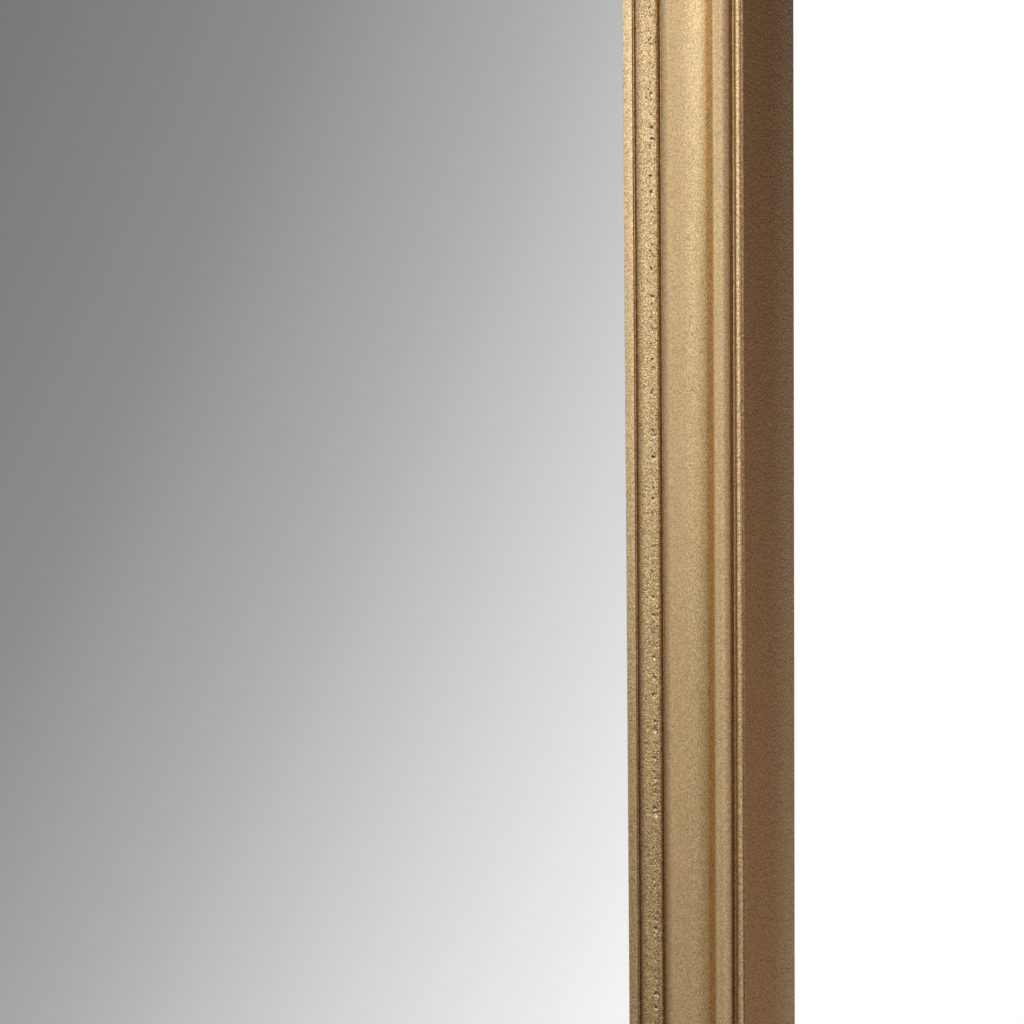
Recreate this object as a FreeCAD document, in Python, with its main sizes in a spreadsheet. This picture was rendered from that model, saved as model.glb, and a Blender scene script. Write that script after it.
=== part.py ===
import FreeCAD, Part
import math
import os

import Sketcher
from FreeCAD import Placement, Rotation, Vector

# Wall mirror in a gold moulded frame, in millimetres.
# X runs to the right, Y runs back to the wall and Z runs up.
# The origin lies on the wall plane, behind the middle of the frame.

DIMENSIONS = {
    # Outer outline of the frame
    "overall_width": 610.0,
    "overall_height": 914.0,
    # Moulding widths, from the sight edge beside the glass out to the side face
    "lip_width": 3.6,
    "inner_quirk_width": 0.55,
    "bead_width": 8.85,
    "outer_quirk_width": 0.7,
    "cove_width": 25.5,
    "edge_quirk_width": 1.0,
    "edge_shelf": 0.6,
    # Moulding heights and curves
    "rabbet_depth": 16.0,
    "rabbet_width": 8.0,
    "lip_thickness": 4.7,
    "lip_round": 0.5,
    "inner_quirk_depth": 0.6,
    "bead_rise": 1.0,
    "bead_sweep": 3.2,
    "bead_round": 1.6,
    "cove_drop": 0.9,
    "outer_quirk_depth": 0.5,
    "cove_rise": 9.15,
    "cove_radius": 27.6,
    "torus_radius": 3.0,
    "edge_drop": 1.15,
    "edge_bead_radius": 1.1,
    # Sheets that lie in the rabbet
    "glass_thickness": 4.0,
    "glass_arris": 0.4,
    "coat_thickness": 0.1,
    "liner_thickness": 2.0,
    "board_thickness": 3.0,
    "pane_play": 1.5,
    # Steel points that hold the sheets in
    "point_thickness": 0.5,
    "point_width": 8.0,
    "point_bite": 6.0,
    "point_reach": 7.0,
    "point_tip": 3.0,
    "stile_points": 5,
    "rail_points": 3,
    # Corner nails across each mitre
    "nail_thickness": 0.6,
    "nail_wing": 10.0,
    "nail_depth": 9.0,
    "nail_margin": 11.0,
    # Ring hangers on the back of the stiles
    "hanger_drop": 230.0,
    "strap_thickness": 1.0,
    "strap_width": 16.0,
    "strap_tail": 6.0,
    "wire_diameter": 2.5,
    "wire_sides": 12,
    "eye_play": 0.3,
    "arm_gap": 1.25,
    "ring_arm": 3.0,
    "ring_corner": 2.5,
    # Pan-head screws that hold the straps
    "screw_diameter": 3.5,
    "screw_length": 16.0,
    "screw_tip": 3.0,
    "screw_pitch": 14.0,
    "screw_play": 0.1,
    "head_diameter": 7.0,
    "head_height": 2.2,
    "head_edge": 0.8,
    "head_gap": 1.25,
    # Rubber bumpers at the foot of the back
    "bumper_diameter": 16.0,
    "bumper_thickness": 6.0,
    "bumper_taper": 1.0,
    "bumper_inset": 14.0,
}

LEFT = -1
RIGHT = 1
SCREWS_PER_STRAP = 2
FULL_TURN = 360


class Size:
    # A length that carries its value and the sheet expression that gives it.
    def __init__(self, value, text):
        self.value = value
        self.text = text

    def __add__(self, other):
        return combine(self, "+", other, self.value + as_size(other).value)

    def __radd__(self, other):
        return as_size(other) + self

    def __sub__(self, other):
        return combine(self, "-", other, self.value - as_size(other).value)

    def __rsub__(self, other):
        return as_size(other) - self

    def __mul__(self, other):
        return combine(self, "*", other, self.value * as_size(other).value)

    def __rmul__(self, other):
        return as_size(other) * self

    def __truediv__(self, other):
        return combine(self, "/", other, self.value / as_size(other).value)

    def __neg__(self):
        return as_size(-1) * self


def as_size(number):
    if isinstance(number, Size):
        return number
    return Size(float(number), f"({float(number)})")


def combine(first, sign, second, value):
    return Size(value, f"({as_size(first).text} {sign} {as_size(second).text})")


doc = FreeCAD.newDocument("wall_mirror")
sheet = doc.addObject("Spreadsheet::Sheet", "sizes")
for row, (name, value) in enumerate(DIMENSIONS.items(), start=1):
    sheet.set(f"A{row}", name)
    sheet.set(f"B{row}", str(value))
    sheet.setAlias(f"B{row}", name)
doc.recompute()


def size(name):
    return Size(float(DIMENSIONS[name]), f"sizes.{name}")


# Moulding stations across its width, from the sight edge outwards
bead_left = size("lip_width") + size("inner_quirk_width")
bead_right = bead_left + size("bead_width")
cove_left = bead_right + size("outer_quirk_width")
torus_left = cove_left + size("cove_width")
torus_right = torus_left + 2 * size("torus_radius")
edge_bead_left = torus_right + size("edge_quirk_width")
edge_bead_right = edge_bead_left + 2 * size("edge_bead_radius")
rail_width = edge_bead_right + size("edge_shelf")

# Moulding heights, from the flat back of the frame to the front
lip_front = size("rabbet_depth") + size("lip_thickness")
inner_quirk_floor = lip_front - size("inner_quirk_depth")
bead_sweep = size("bead_sweep")
bead_rise = size("bead_rise")
bead_front = inner_quirk_floor + bead_rise
sweep_centre = bead_front - (bead_sweep * bead_sweep + bead_rise * bead_rise) / (2 * bead_rise)
cove_foot = lip_front - size("cove_drop")
outer_quirk_floor = cove_foot - size("outer_quirk_depth")
cove_top = cove_foot + size("cove_rise")
edge_floor = cove_top - size("edge_drop")

# Heights of the sheets behind the lip
glass_back = size("rabbet_depth") - size("glass_thickness")
coat_back = glass_back - size("coat_thickness")
liner_back = coat_back - size("liner_thickness")
board_back = liner_back - size("board_thickness")
point_back = board_back - size("point_thickness")

# Sight opening and the sheets, which drop by their play onto the bottom rail's rabbet
half_sight_width = size("overall_width") / 2 - rail_width
half_sight_height = size("overall_height") / 2 - rail_width
half_pane_width = half_sight_width + size("rabbet_width") - size("pane_play")
half_pane_height = half_sight_height + size("rabbet_width") - size("pane_play")

# The back of the frame stands off the wall by the bumpers
back_face = -size("bumper_thickness")
back_middle = (size("rabbet_width") + rail_width) / 2
nail_inner = size("rabbet_width") + size("nail_margin")
nail_outer = rail_width - size("nail_margin")

# Ring hangers: the wire turns in an eye rolled from the strap
wire_radius = size("wire_diameter") / 2
eye_inner = wire_radius + size("eye_play")
eye_outer = eye_inner + size("strap_thickness")
ring_half = size("strap_width") / 2 + size("arm_gap") + wire_radius
head_radius = size("head_diameter") / 2
first_screw = size("ring_arm") + ring_half + wire_radius + size("head_gap") + head_radius
second_screw = first_screw + size("screw_pitch")
strap_length = second_screw + size("strap_tail")
hanger_height = size("overall_height") / 2 - size("hanger_drop")
hanger_side = half_sight_width + back_middle
screw_depth = size("screw_length") - size("strap_thickness") + size("screw_play")
screw_hole = size("screw_diameter") + 2 * size("screw_play")

# The mitre cuts start this far outside the moulding
MITRE_MARGIN = as_size(1.0)


# Sketch helpers

# A sketch numbers its own axes and origin below its first edge, and the points of an edge from 1
LEVEL_AXIS, UPRIGHT_AXIS = range(-1, -3, -1)
SKETCH_ORIGIN = (-1, 1)
START, END, CENTRE = range(1, 4)


class Bend:
    # An arc to the next corner, set by its centre's height or by its radius.
    def __init__(self, clockwise, centre_height=None, radius=None):
        self.clockwise = clockwise
        self.centre_height = centre_height
        self.radius = radius


def number(length):
    return as_size(length).value


def arc_centre(start, end, bend):
    middle = (start + end) / 2
    chord = end - start
    if bend.radius is None:
        rise = number(bend.centre_height)
        reach = (end.x ** 2 + (end.y - rise) ** 2) - (start.x ** 2 + (start.y - rise) ** 2)
        return Vector(reach / (2 * chord.x), rise, 0)
    offset = math.sqrt(bend.radius.value ** 2 - (chord.Length / 2) ** 2)
    left_of_chord = Vector(-chord.y, chord.x, 0).normalize()
    return middle - left_of_chord * offset if bend.clockwise else middle + left_of_chord * offset


def arc_edge(start, end, bend):
    centre = arc_centre(start, end, bend)
    first, last = (end, start) if bend.clockwise else (start, end)
    first_angle = math.atan2(first.y - centre.y, first.x - centre.x)
    last_angle = math.atan2(last.y - centre.y, last.x - centre.x)
    if last_angle <= first_angle:
        last_angle += 2 * math.pi
    circle = Part.Circle(centre, Vector(0, 0, 1), (start - centre).Length)
    return Part.ArcOfCircle(circle, first_angle, last_angle)


def add_sketch(body, name, plane, lift=None):
    sketch = body.newObject("Sketcher::SketchObject", name)
    sketch.AttachmentSupport = (origin_feature(body, plane), [""])
    sketch.MapMode = "FlatFace"
    if lift is not None:
        sketch.setExpression("AttachmentOffset.Base.z", lift.text)
    return sketch


def origin_feature(body, role):
    return next(item for item in body.Origin.OriginFeatures if item.Role == role)


def hold(sketch, edge, point, kind, distance):
    # Fix one coordinate of a sketch point; a plain 0 puts the point on the axis.
    if not isinstance(distance, Size):
        axis = UPRIGHT_AXIS if kind == "DistanceX" else LEVEL_AXIS
        sketch.addConstraint(Sketcher.Constraint("PointOnObject", edge, point, axis))
        return
    if distance.value >= 0:
        ends = (*SKETCH_ORIGIN, edge, point)
    else:
        ends = (edge, point, *SKETCH_ORIGIN)
        distance = -distance
    index = sketch.addConstraint(Sketcher.Constraint(kind, *ends, distance.value))
    sketch.setExpression(f"Constraints[{index}]", distance.text)


def draw_outline(sketch, corners):
    # Corners are (x, y) or (x, y, bend); the last joins the first.
    points = [Vector(number(corner[0]), number(corner[1]), 0) for corner in corners]
    bends = [corner[2] if len(corner) > 2 else None for corner in corners]
    edges = []
    for step, bend in enumerate(bends):
        start = points[step]
        end = points[(step + 1) % len(points)]
        shape = arc_edge(start, end, bend) if bend else Part.LineSegment(start, end)
        index = sketch.addGeometry(shape, False)
        edges.append((index, END, START) if bend and bend.clockwise else (index, START, END))
    for step, (index, first, last) in enumerate(edges):
        following, following_first, _ = edges[(step + 1) % len(edges)]
        sketch.addConstraint(Sketcher.Constraint("Coincident", index, last, following, following_first))
        hold(sketch, index, first, "DistanceX", corners[step][0])
        hold(sketch, index, first, "DistanceY", corners[step][1])
        bend = bends[step]
        if bend and bend.radius is None:
            hold(sketch, index, CENTRE, "DistanceY", bend.centre_height)
        elif bend:
            radius = sketch.addConstraint(Sketcher.Constraint("Radius", index, bend.radius.value))
            sketch.setExpression(f"Constraints[{radius}]", bend.radius.text)
    return [index for index, _, _ in edges]


def draw_circle(sketch, x, y, diameter):
    centre = Vector(number(x), number(y), 0)
    index = sketch.addGeometry(Part.Circle(centre, Vector(0, 0, 1), diameter.value / 2), False)
    hold(sketch, index, CENTRE, "DistanceX", x)
    hold(sketch, index, CENTRE, "DistanceY", y)
    width = sketch.addConstraint(Sketcher.Constraint("Diameter", index, diameter.value))
    sketch.setExpression(f"Constraints[{width}]", diameter.text)


def draw_polygon(sketch, diameter, sides):
    # A regular polygon about the origin, its corners on a circle of the given diameter.
    count = int(sides.value)
    corners = [Vector(diameter.value / 2, 0, 0)]
    for step in range(1, count):
        turn = Rotation(Vector(0, 0, 1), FULL_TURN * step / count)
        corners.append(turn.multVec(corners[0]))
    circle = sketch.addGeometry(Part.Circle(Vector(), Vector(0, 0, 1), diameter.value / 2), True)
    width = sketch.addConstraint(Sketcher.Constraint("Diameter", circle, diameter.value))
    sketch.setExpression(f"Constraints[{width}]", diameter.text)
    sketch.addConstraint(Sketcher.Constraint("Coincident", circle, CENTRE, *SKETCH_ORIGIN))
    edges = []
    for step in range(count):
        side = Part.LineSegment(corners[step], corners[(step + 1) % count])
        edges.append(sketch.addGeometry(side, False))
    for step, edge in enumerate(edges):
        following = edges[(step + 1) % count]
        sketch.addConstraint(Sketcher.Constraint("Coincident", edge, END, following, START))
        sketch.addConstraint(Sketcher.Constraint("PointOnObject", edge, START, circle))
        if step > 0:
            sketch.addConstraint(Sketcher.Constraint("Equal", edges[0], edge))
    sketch.addConstraint(Sketcher.Constraint("PointOnObject", edges[0], START, LEVEL_AXIS))


# Feature helpers

def add_body(label):
    body = doc.addObject("PartDesign::Body", label)
    body.Label = label
    return body


def add_pad(body, sketch, length, symmetric=False, backwards=False):
    pad = body.newObject("PartDesign::Pad", f"{sketch.Name}_pad")
    pad.Profile = sketch
    pad.SideType = "Symmetric" if symmetric else "One side"
    pad.Reversed = backwards
    pad.setExpression("Length", length.text)
    return pad


def add_pocket(body, sketch, length=None, symmetric=False):
    pocket = body.newObject("PartDesign::Pocket", f"{sketch.Name}_pocket")
    pocket.Profile = sketch
    pocket.SideType = "Symmetric" if symmetric else "One side"
    if length is None:
        pocket.Type = "ThroughAll"
    else:
        pocket.setExpression("Length", length.text)
    return pocket


def place(item, x, y, z, rotation=Rotation()):
    item.Placement = Placement(Vector(number(x), number(y), number(z)), rotation)
    for axis, value in (("x", x), ("y", y), ("z", z)):
        if isinstance(value, Size):
            item.setExpression(f"Placement.Base.{axis}", value.text)


# Frame rails: each is modelled with x outwards from the sight edge, y to the front, z along it

def moulding_corners():
    lip_round = size("lip_round")
    bead_round = size("bead_round")
    return [
        (size("rabbet_width"), 0),
        (size("rabbet_width"), size("rabbet_depth")),
        (0, size("rabbet_depth")),
        (0, lip_front - lip_round, Bend(clockwise=True, centre_height=lip_front - lip_round)),
        (lip_round, lip_front),
        (size("lip_width"), lip_front),
        (size("lip_width"), inner_quirk_floor),
        (bead_left, inner_quirk_floor, Bend(clockwise=True, centre_height=sweep_centre)),
        (bead_left + bead_sweep, bead_front),
        (bead_right - bead_round, bead_front, Bend(clockwise=True, centre_height=bead_front - bead_round)),
        (bead_right, bead_front - bead_round),
        (bead_right, outer_quirk_floor),
        (cove_left, outer_quirk_floor),
        (cove_left, cove_foot, Bend(clockwise=False, radius=size("cove_radius"))),
        (torus_left, cove_top, Bend(clockwise=True, centre_height=cove_top)),
        (torus_right, cove_top),
        (torus_right, edge_floor),
        (edge_bead_left, edge_floor, Bend(clockwise=True, centre_height=edge_floor)),
        (edge_bead_right, edge_floor),
        (rail_width, edge_floor),
        (rail_width, 0),
    ]


def cut_mitres(body, half_sight):
    sketch = add_sketch(body, f"{body.Name}_mitres", "XZ_Plane")
    past = rail_width + MITRE_MARGIN
    for end in (-1, 1):
        draw_outline(sketch, [
            (-MITRE_MARGIN, end * (half_sight - MITRE_MARGIN)),
            (past, end * (half_sight + past)),
            (-MITRE_MARGIN, end * (half_sight + past)),
        ])
    add_pocket(body, sketch, symmetric=True)


def cut_nail_slots(body, half_sight):
    sketch = add_sketch(body, f"{body.Name}_nail_slots", "XZ_Plane")
    for end in (-1, 1):
        for station in (nail_inner, nail_outer):
            near = end * (half_sight + station - size("nail_wing"))
            far = end * (half_sight + station)
            inside = station - size("nail_thickness")
            draw_outline(sketch, [(inside, near), (station, near), (station, far), (inside, far)])
    add_pocket(body, sketch, size("nail_depth"))


def point_pitch(half_sight, count):
    return 2 * half_sight / count


def cut_point_slots(body, half_sight, count):
    # The slots match the driven ends of the points that hold the backing board.
    pitch = point_pitch(half_sight, count)
    first = -(count - 1) / 2 * pitch
    wall = size("rabbet_width")
    half = size("point_width") / 2
    shoulder = wall + size("point_bite") - size("point_tip")
    sketch = add_sketch(body, f"{body.Name}_point_slots", "XZ_Plane", -point_back)
    draw_outline(sketch, [
        (wall, first - half),
        (shoulder, first - half),
        (wall + size("point_bite"), first),
        (shoulder, first + half),
        (wall, first + half),
    ])
    pocket = add_pocket(body, sketch, size("point_thickness"))
    pattern = body.newObject("PartDesign::LinearPattern", f"{body.Name}_point_pattern")
    pattern.Originals = [pocket]
    pattern.Direction = (origin_feature(body, "Z_Axis"), [""])
    pattern.Mode = "Spacing"
    pattern.setExpression("Offset", pitch.text)
    pattern.setExpression("Occurrences", count.text)
    body.Tip = pattern


def cut_screw_holes(body, up):
    sketch = add_sketch(body, f"{body.Name}_screw_holes", "XZ_Plane")
    for drop in (first_screw, second_screw):
        draw_circle(sketch, back_middle, up * (hanger_height - drop), screw_hole)
    add_pocket(body, sketch, screw_depth)


def make_rail(label, half_sight, points):
    body = add_body(label)
    profile = add_sketch(body, f"{label}_profile", "XY_Plane")
    draw_outline(profile, moulding_corners())
    add_pad(body, profile, 2 * (half_sight + rail_width), symmetric=True)
    cut_mitres(body, half_sight)
    cut_nail_slots(body, half_sight)
    cut_point_slots(body, half_sight, points)
    return body


def make_frame():
    right_stile = make_rail("right_stile", half_sight_height, size("stile_points"))
    cut_screw_holes(right_stile, -1)
    place(right_stile, half_sight_width, back_face, 0, Rotation(Vector(1, 0, 0), 180))
    left_stile = make_rail("left_stile", half_sight_height, size("stile_points"))
    cut_screw_holes(left_stile, 1)
    place(left_stile, -half_sight_width, back_face, 0, Rotation(Vector(0, 0, 1), 180))
    top_rail = make_rail("top_rail", half_sight_width, size("rail_points"))
    across = Rotation(Vector(0, 0, 1), Vector(0, -1, 0), Vector(1, 0, 0), "XYZ")
    place(top_rail, 0, back_face, half_sight_height, across)
    bottom_rail = make_rail("bottom_rail", half_sight_width, size("rail_points"))
    across = Rotation(Vector(0, 0, -1), Vector(0, -1, 0), Vector(-1, 0, 0), "XYZ")
    place(bottom_rail, 0, back_face, -half_sight_height, across)
    return [right_stile, left_stile, top_rail, bottom_rail]


# Glass, silvering, liner and backing board

def make_sheet(label, front, thickness):
    sheet_body = add_body(label)
    slab = sheet_body.newObject("PartDesign::AdditiveBox", f"{label}_slab")
    slab.setExpression("Length", (2 * half_pane_width).text)
    slab.setExpression("Width", thickness.text)
    slab.setExpression("Height", (2 * half_pane_height).text)
    place(sheet_body, -half_pane_width, back_face - front, -half_pane_height - size("pane_play"))
    return sheet_body


def make_pane():
    glass = make_sheet("mirror_glass", size("rabbet_depth"), size("glass_thickness"))
    slab = glass.Tip
    doc.recompute()
    arris = glass.newObject("PartDesign::Chamfer", "mirror_glass_arris")
    arris.Base = (slab, [])
    arris.UseAllEdges = True
    arris.setExpression("Size", size("glass_arris").text)
    return [
        glass,
        make_sheet("silver_coat", glass_back, size("coat_thickness")),
        make_sheet("cardboard_liner", coat_back, size("liner_thickness")),
        make_sheet("backing_board", liner_back, size("board_thickness")),
    ]


def point_outline(along, wall, outward, upright):
    # One point lies across the rabbet wall, its tip driven outwards into the rail.
    half = size("point_width") / 2
    shoulder = wall + size("point_bite") - size("point_tip")
    stations = [
        (wall - size("point_reach"), along - half),
        (shoulder, along - half),
        (wall + size("point_bite"), along),
        (shoulder, along + half),
        (wall - size("point_reach"), along + half),
    ]
    if upright:
        return [(outward * across, lengthwise) for across, lengthwise in stations]
    return [(lengthwise, outward * across) for across, lengthwise in stations]


def make_points():
    body = add_body("retaining_points")
    sketch = add_sketch(body, "retaining_points_outline", "XZ_Plane", point_back)
    sides = [
        (half_sight_height, half_sight_width, size("stile_points"), True),
        (half_sight_width, half_sight_height, size("rail_points"), False),
    ]
    for half_run, half_across, count, upright in sides:
        pitch = point_pitch(half_run, count)
        for step in range(int(count.value)):
            along = (step - (count - 1) / 2) * pitch
            for outward in (-1, 1):
                outline = point_outline(along, half_across + size("rabbet_width"), outward, upright)
                draw_outline(sketch, outline)
    add_pad(body, sketch, size("point_thickness"))
    place(body, 0, back_face, 0)
    return body


def make_corner_nails():
    body = add_body("corner_nails")
    sketch = add_sketch(body, "corner_nails_outline", "XZ_Plane")
    wing = size("nail_wing")
    thickness = size("nail_thickness")
    for side in (-1, 1):
        for end in (-1, 1):
            for station in (nail_inner, nail_outer):
                x = half_sight_width + station
                z = half_sight_height + station
                draw_outline(sketch, [
                    (side * x, end * z),
                    (side * x, end * (z - wing)),
                    (side * (x - thickness), end * (z - wing)),
                    (side * (x - thickness), end * (z - thickness)),
                    (side * (x - wing), end * (z - thickness)),
                    (side * (x - wing), end * z),
                ])
    add_pad(body, sketch, size("nail_depth"))
    place(body, 0, back_face, 0)
    return body


# Ring hangers: local y is 0 on the back of the frame, z is 0 on the ring's axis

def make_strap(label, side):
    body = add_body(label)
    plate = add_sketch(body, f"{label}_plate", "XZ_Plane")
    half = size("strap_width") / 2
    tail = half - strap_length
    draw_outline(plate, [
        (-half, 0),
        (half, 0),
        (half, tail, Bend(clockwise=True, centre_height=tail)),
        (-half, tail),
    ])
    add_pad(body, plate, size("strap_thickness"), backwards=True)
    curl = add_sketch(body, f"{label}_curl", "YZ_Plane")
    draw_outline(curl, [
        (0, 0, Bend(clockwise=True, centre_height=0)),
        (eye_outer, -eye_outer),
        (eye_outer, -eye_inner, Bend(clockwise=False, centre_height=0)),
        (size("strap_thickness"), 0),
    ])
    add_pad(body, curl, size("strap_width"), symmetric=True)
    holes = add_sketch(body, f"{label}_holes", "XZ_Plane")
    for drop in (first_screw, second_screw):
        draw_circle(holes, 0, -drop, screw_hole)
    add_pocket(body, holes, symmetric=True)
    place(body, side * hanger_side, back_face, hanger_height)
    return body


def make_ring(label, side):
    body = add_body(label)
    path = add_sketch(body, f"{label}_path", "XZ_Plane")
    flat = ring_half - size("ring_corner")
    corner = -size("ring_corner")
    spring = -size("ring_arm")
    edges = draw_outline(path, [
        (0, 0),
        (flat, 0, Bend(clockwise=True, centre_height=corner)),
        (ring_half, corner),
        (ring_half, spring, Bend(clockwise=True, centre_height=spring)),
        (-ring_half, spring),
        (-ring_half, corner, Bend(clockwise=True, centre_height=corner)),
        (-flat, 0),
    ])
    section = add_sketch(body, f"{label}_section", "YZ_Plane")
    draw_polygon(section, size("wire_diameter"), size("wire_sides"))
    wire = body.newObject("PartDesign::AdditivePipe", f"{label}_wire")
    wire.Profile = section
    wire.Spine = (path, [f"Edge{index + 1}" for index in edges])
    place(body, side * hanger_side, back_face + eye_outer, hanger_height)
    return body


def make_screws():
    # One screw is turned, then repeated down the strap and across to the other stile.
    body = add_body("hanger_screws")
    sketch = add_sketch(body, "hanger_screws_outline", "XY_Plane")
    radius = size("screw_diameter") / 2
    length = size("screw_length")
    height = size("head_height")
    edge = size("head_edge")
    dome_centre = (height * height - edge * edge - head_radius * head_radius) / (2 * (height - edge))
    outline = draw_outline(sketch, [
        (hanger_side, -length),
        (hanger_side + radius, -length + size("screw_tip")),
        (hanger_side + radius, 0),
        (hanger_side + head_radius, 0),
        (hanger_side + head_radius, edge, Bend(clockwise=False, centre_height=dome_centre)),
        (hanger_side, height),
    ])
    turned = body.newObject("PartDesign::Revolution", "hanger_screws_turned")
    turned.Profile = sketch
    turned.ReferenceAxis = (sketch, [f"Edge{len(outline)}"])
    turned.Angle = FULL_TURN
    repeat = body.newObject("PartDesign::MultiTransform", "hanger_screws_repeat")
    repeat.Originals = [turned]
    down = body.newObject("PartDesign::LinearPattern", "hanger_screws_down")
    down.Direction = (origin_feature(body, "Z_Axis"), [""])
    down.Reversed = True
    down.Mode = "Spacing"
    down.setExpression("Offset", size("screw_pitch").text)
    down.Occurrences = SCREWS_PER_STRAP
    across = body.newObject("PartDesign::Mirrored", "hanger_screws_across")
    across.MirrorPlane = (origin_feature(body, "YZ_Plane"), [""])
    repeat.Transformations = [down, across]
    body.Tip = repeat
    place(body, 0, back_face + size("strap_thickness"), hanger_height - first_screw)
    return body


def make_hangers():
    return [
        make_strap("left_hanger_strap", LEFT),
        make_strap("right_hanger_strap", RIGHT),
        make_ring("left_hanger_ring", LEFT),
        make_ring("right_hanger_ring", RIGHT),
        make_screws(),
    ]


# Rubber bumpers on the back of the bottom rail

def make_bumper(label, side):
    body = add_body(label)
    outline = add_sketch(body, f"{label}_outline", "XY_Plane")
    radius = size("bumper_diameter") / 2
    draw_outline(outline, [
        (0, 0),
        (radius, 0),
        (radius - size("bumper_taper"), size("bumper_thickness")),
        (0, size("bumper_thickness")),
    ])
    turned = body.newObject("PartDesign::Revolution", f"{label}_turned")
    turned.Profile = outline
    turned.ReferenceAxis = (outline, ["V_Axis"])
    turned.Angle = FULL_TURN
    inset = half_sight_width - size("bumper_inset")
    place(body, side * inset, back_face, -half_sight_height - back_middle)
    return body


def make_bumpers():
    return [make_bumper("left_bumper", LEFT), make_bumper("right_bumper", RIGHT)]


def check_document():
    doc.recompute()
    for item in doc.Objects:
        if "Invalid" in item.State or "Error" in item.State:
            raise RuntimeError(f"{item.Label} failed to build: {item.State}")


def write_parts(subparts):
    os.makedirs("parts", exist_ok=True)
    for subpart in subparts:
        shape = subpart.Shape
        if shape.isNull() or not shape.isValid():
            raise RuntimeError(f"{subpart.Label} has no valid shape")
        print(f"{subpart.Label}: {len(shape.Solids)} solids, {shape.Volume:.1f} mm3")
    for subpart in subparts:
        subpart.Shape.exportStep(f"parts/{subpart.Label}.step")


subparts = make_frame() + make_pane()
subparts += [make_points(), make_corner_nails()]
subparts += make_hangers() + make_bumpers()
check_document()
write_parts(subparts)
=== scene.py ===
import math

import bmesh
import bpy
from mathutils import Matrix, Vector


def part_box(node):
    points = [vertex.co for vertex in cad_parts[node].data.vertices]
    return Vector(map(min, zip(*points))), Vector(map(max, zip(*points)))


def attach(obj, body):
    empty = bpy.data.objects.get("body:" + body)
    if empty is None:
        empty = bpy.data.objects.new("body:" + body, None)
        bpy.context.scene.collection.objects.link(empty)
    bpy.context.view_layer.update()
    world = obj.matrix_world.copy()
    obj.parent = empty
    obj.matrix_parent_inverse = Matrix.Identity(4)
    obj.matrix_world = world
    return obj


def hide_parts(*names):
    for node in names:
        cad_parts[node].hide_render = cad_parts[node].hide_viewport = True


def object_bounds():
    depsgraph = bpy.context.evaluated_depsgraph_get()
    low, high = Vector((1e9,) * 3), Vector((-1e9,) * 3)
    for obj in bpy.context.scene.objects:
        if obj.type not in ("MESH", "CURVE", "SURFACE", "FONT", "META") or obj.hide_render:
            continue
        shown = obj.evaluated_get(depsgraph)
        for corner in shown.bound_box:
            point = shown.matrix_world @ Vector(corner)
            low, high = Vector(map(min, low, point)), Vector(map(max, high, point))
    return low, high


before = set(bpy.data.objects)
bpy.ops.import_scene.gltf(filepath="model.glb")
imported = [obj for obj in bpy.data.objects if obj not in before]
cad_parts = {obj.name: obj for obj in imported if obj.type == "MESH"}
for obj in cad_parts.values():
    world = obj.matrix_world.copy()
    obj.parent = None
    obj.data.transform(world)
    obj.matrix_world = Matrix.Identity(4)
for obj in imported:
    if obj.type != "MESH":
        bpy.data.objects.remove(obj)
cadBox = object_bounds()
mm = 0.001  # sizes below are in millimetres unless a note says otherwise
even = 0.5  # the middle of a noise or a draw that runs from 0 to 1
scene = bpy.context.scene

# places read from the frame, in metres
stileLow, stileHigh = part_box("right_stile")
railWidth = stileHigh.x - stileLow.x
halfSightWide = stileLow.x
halfSightTall = stileHigh.z - railWidth
backFace = stileHigh.y
print("frame loaded, rail width", round(railWidth / mm, 2), "mm")


# node expressions

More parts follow.
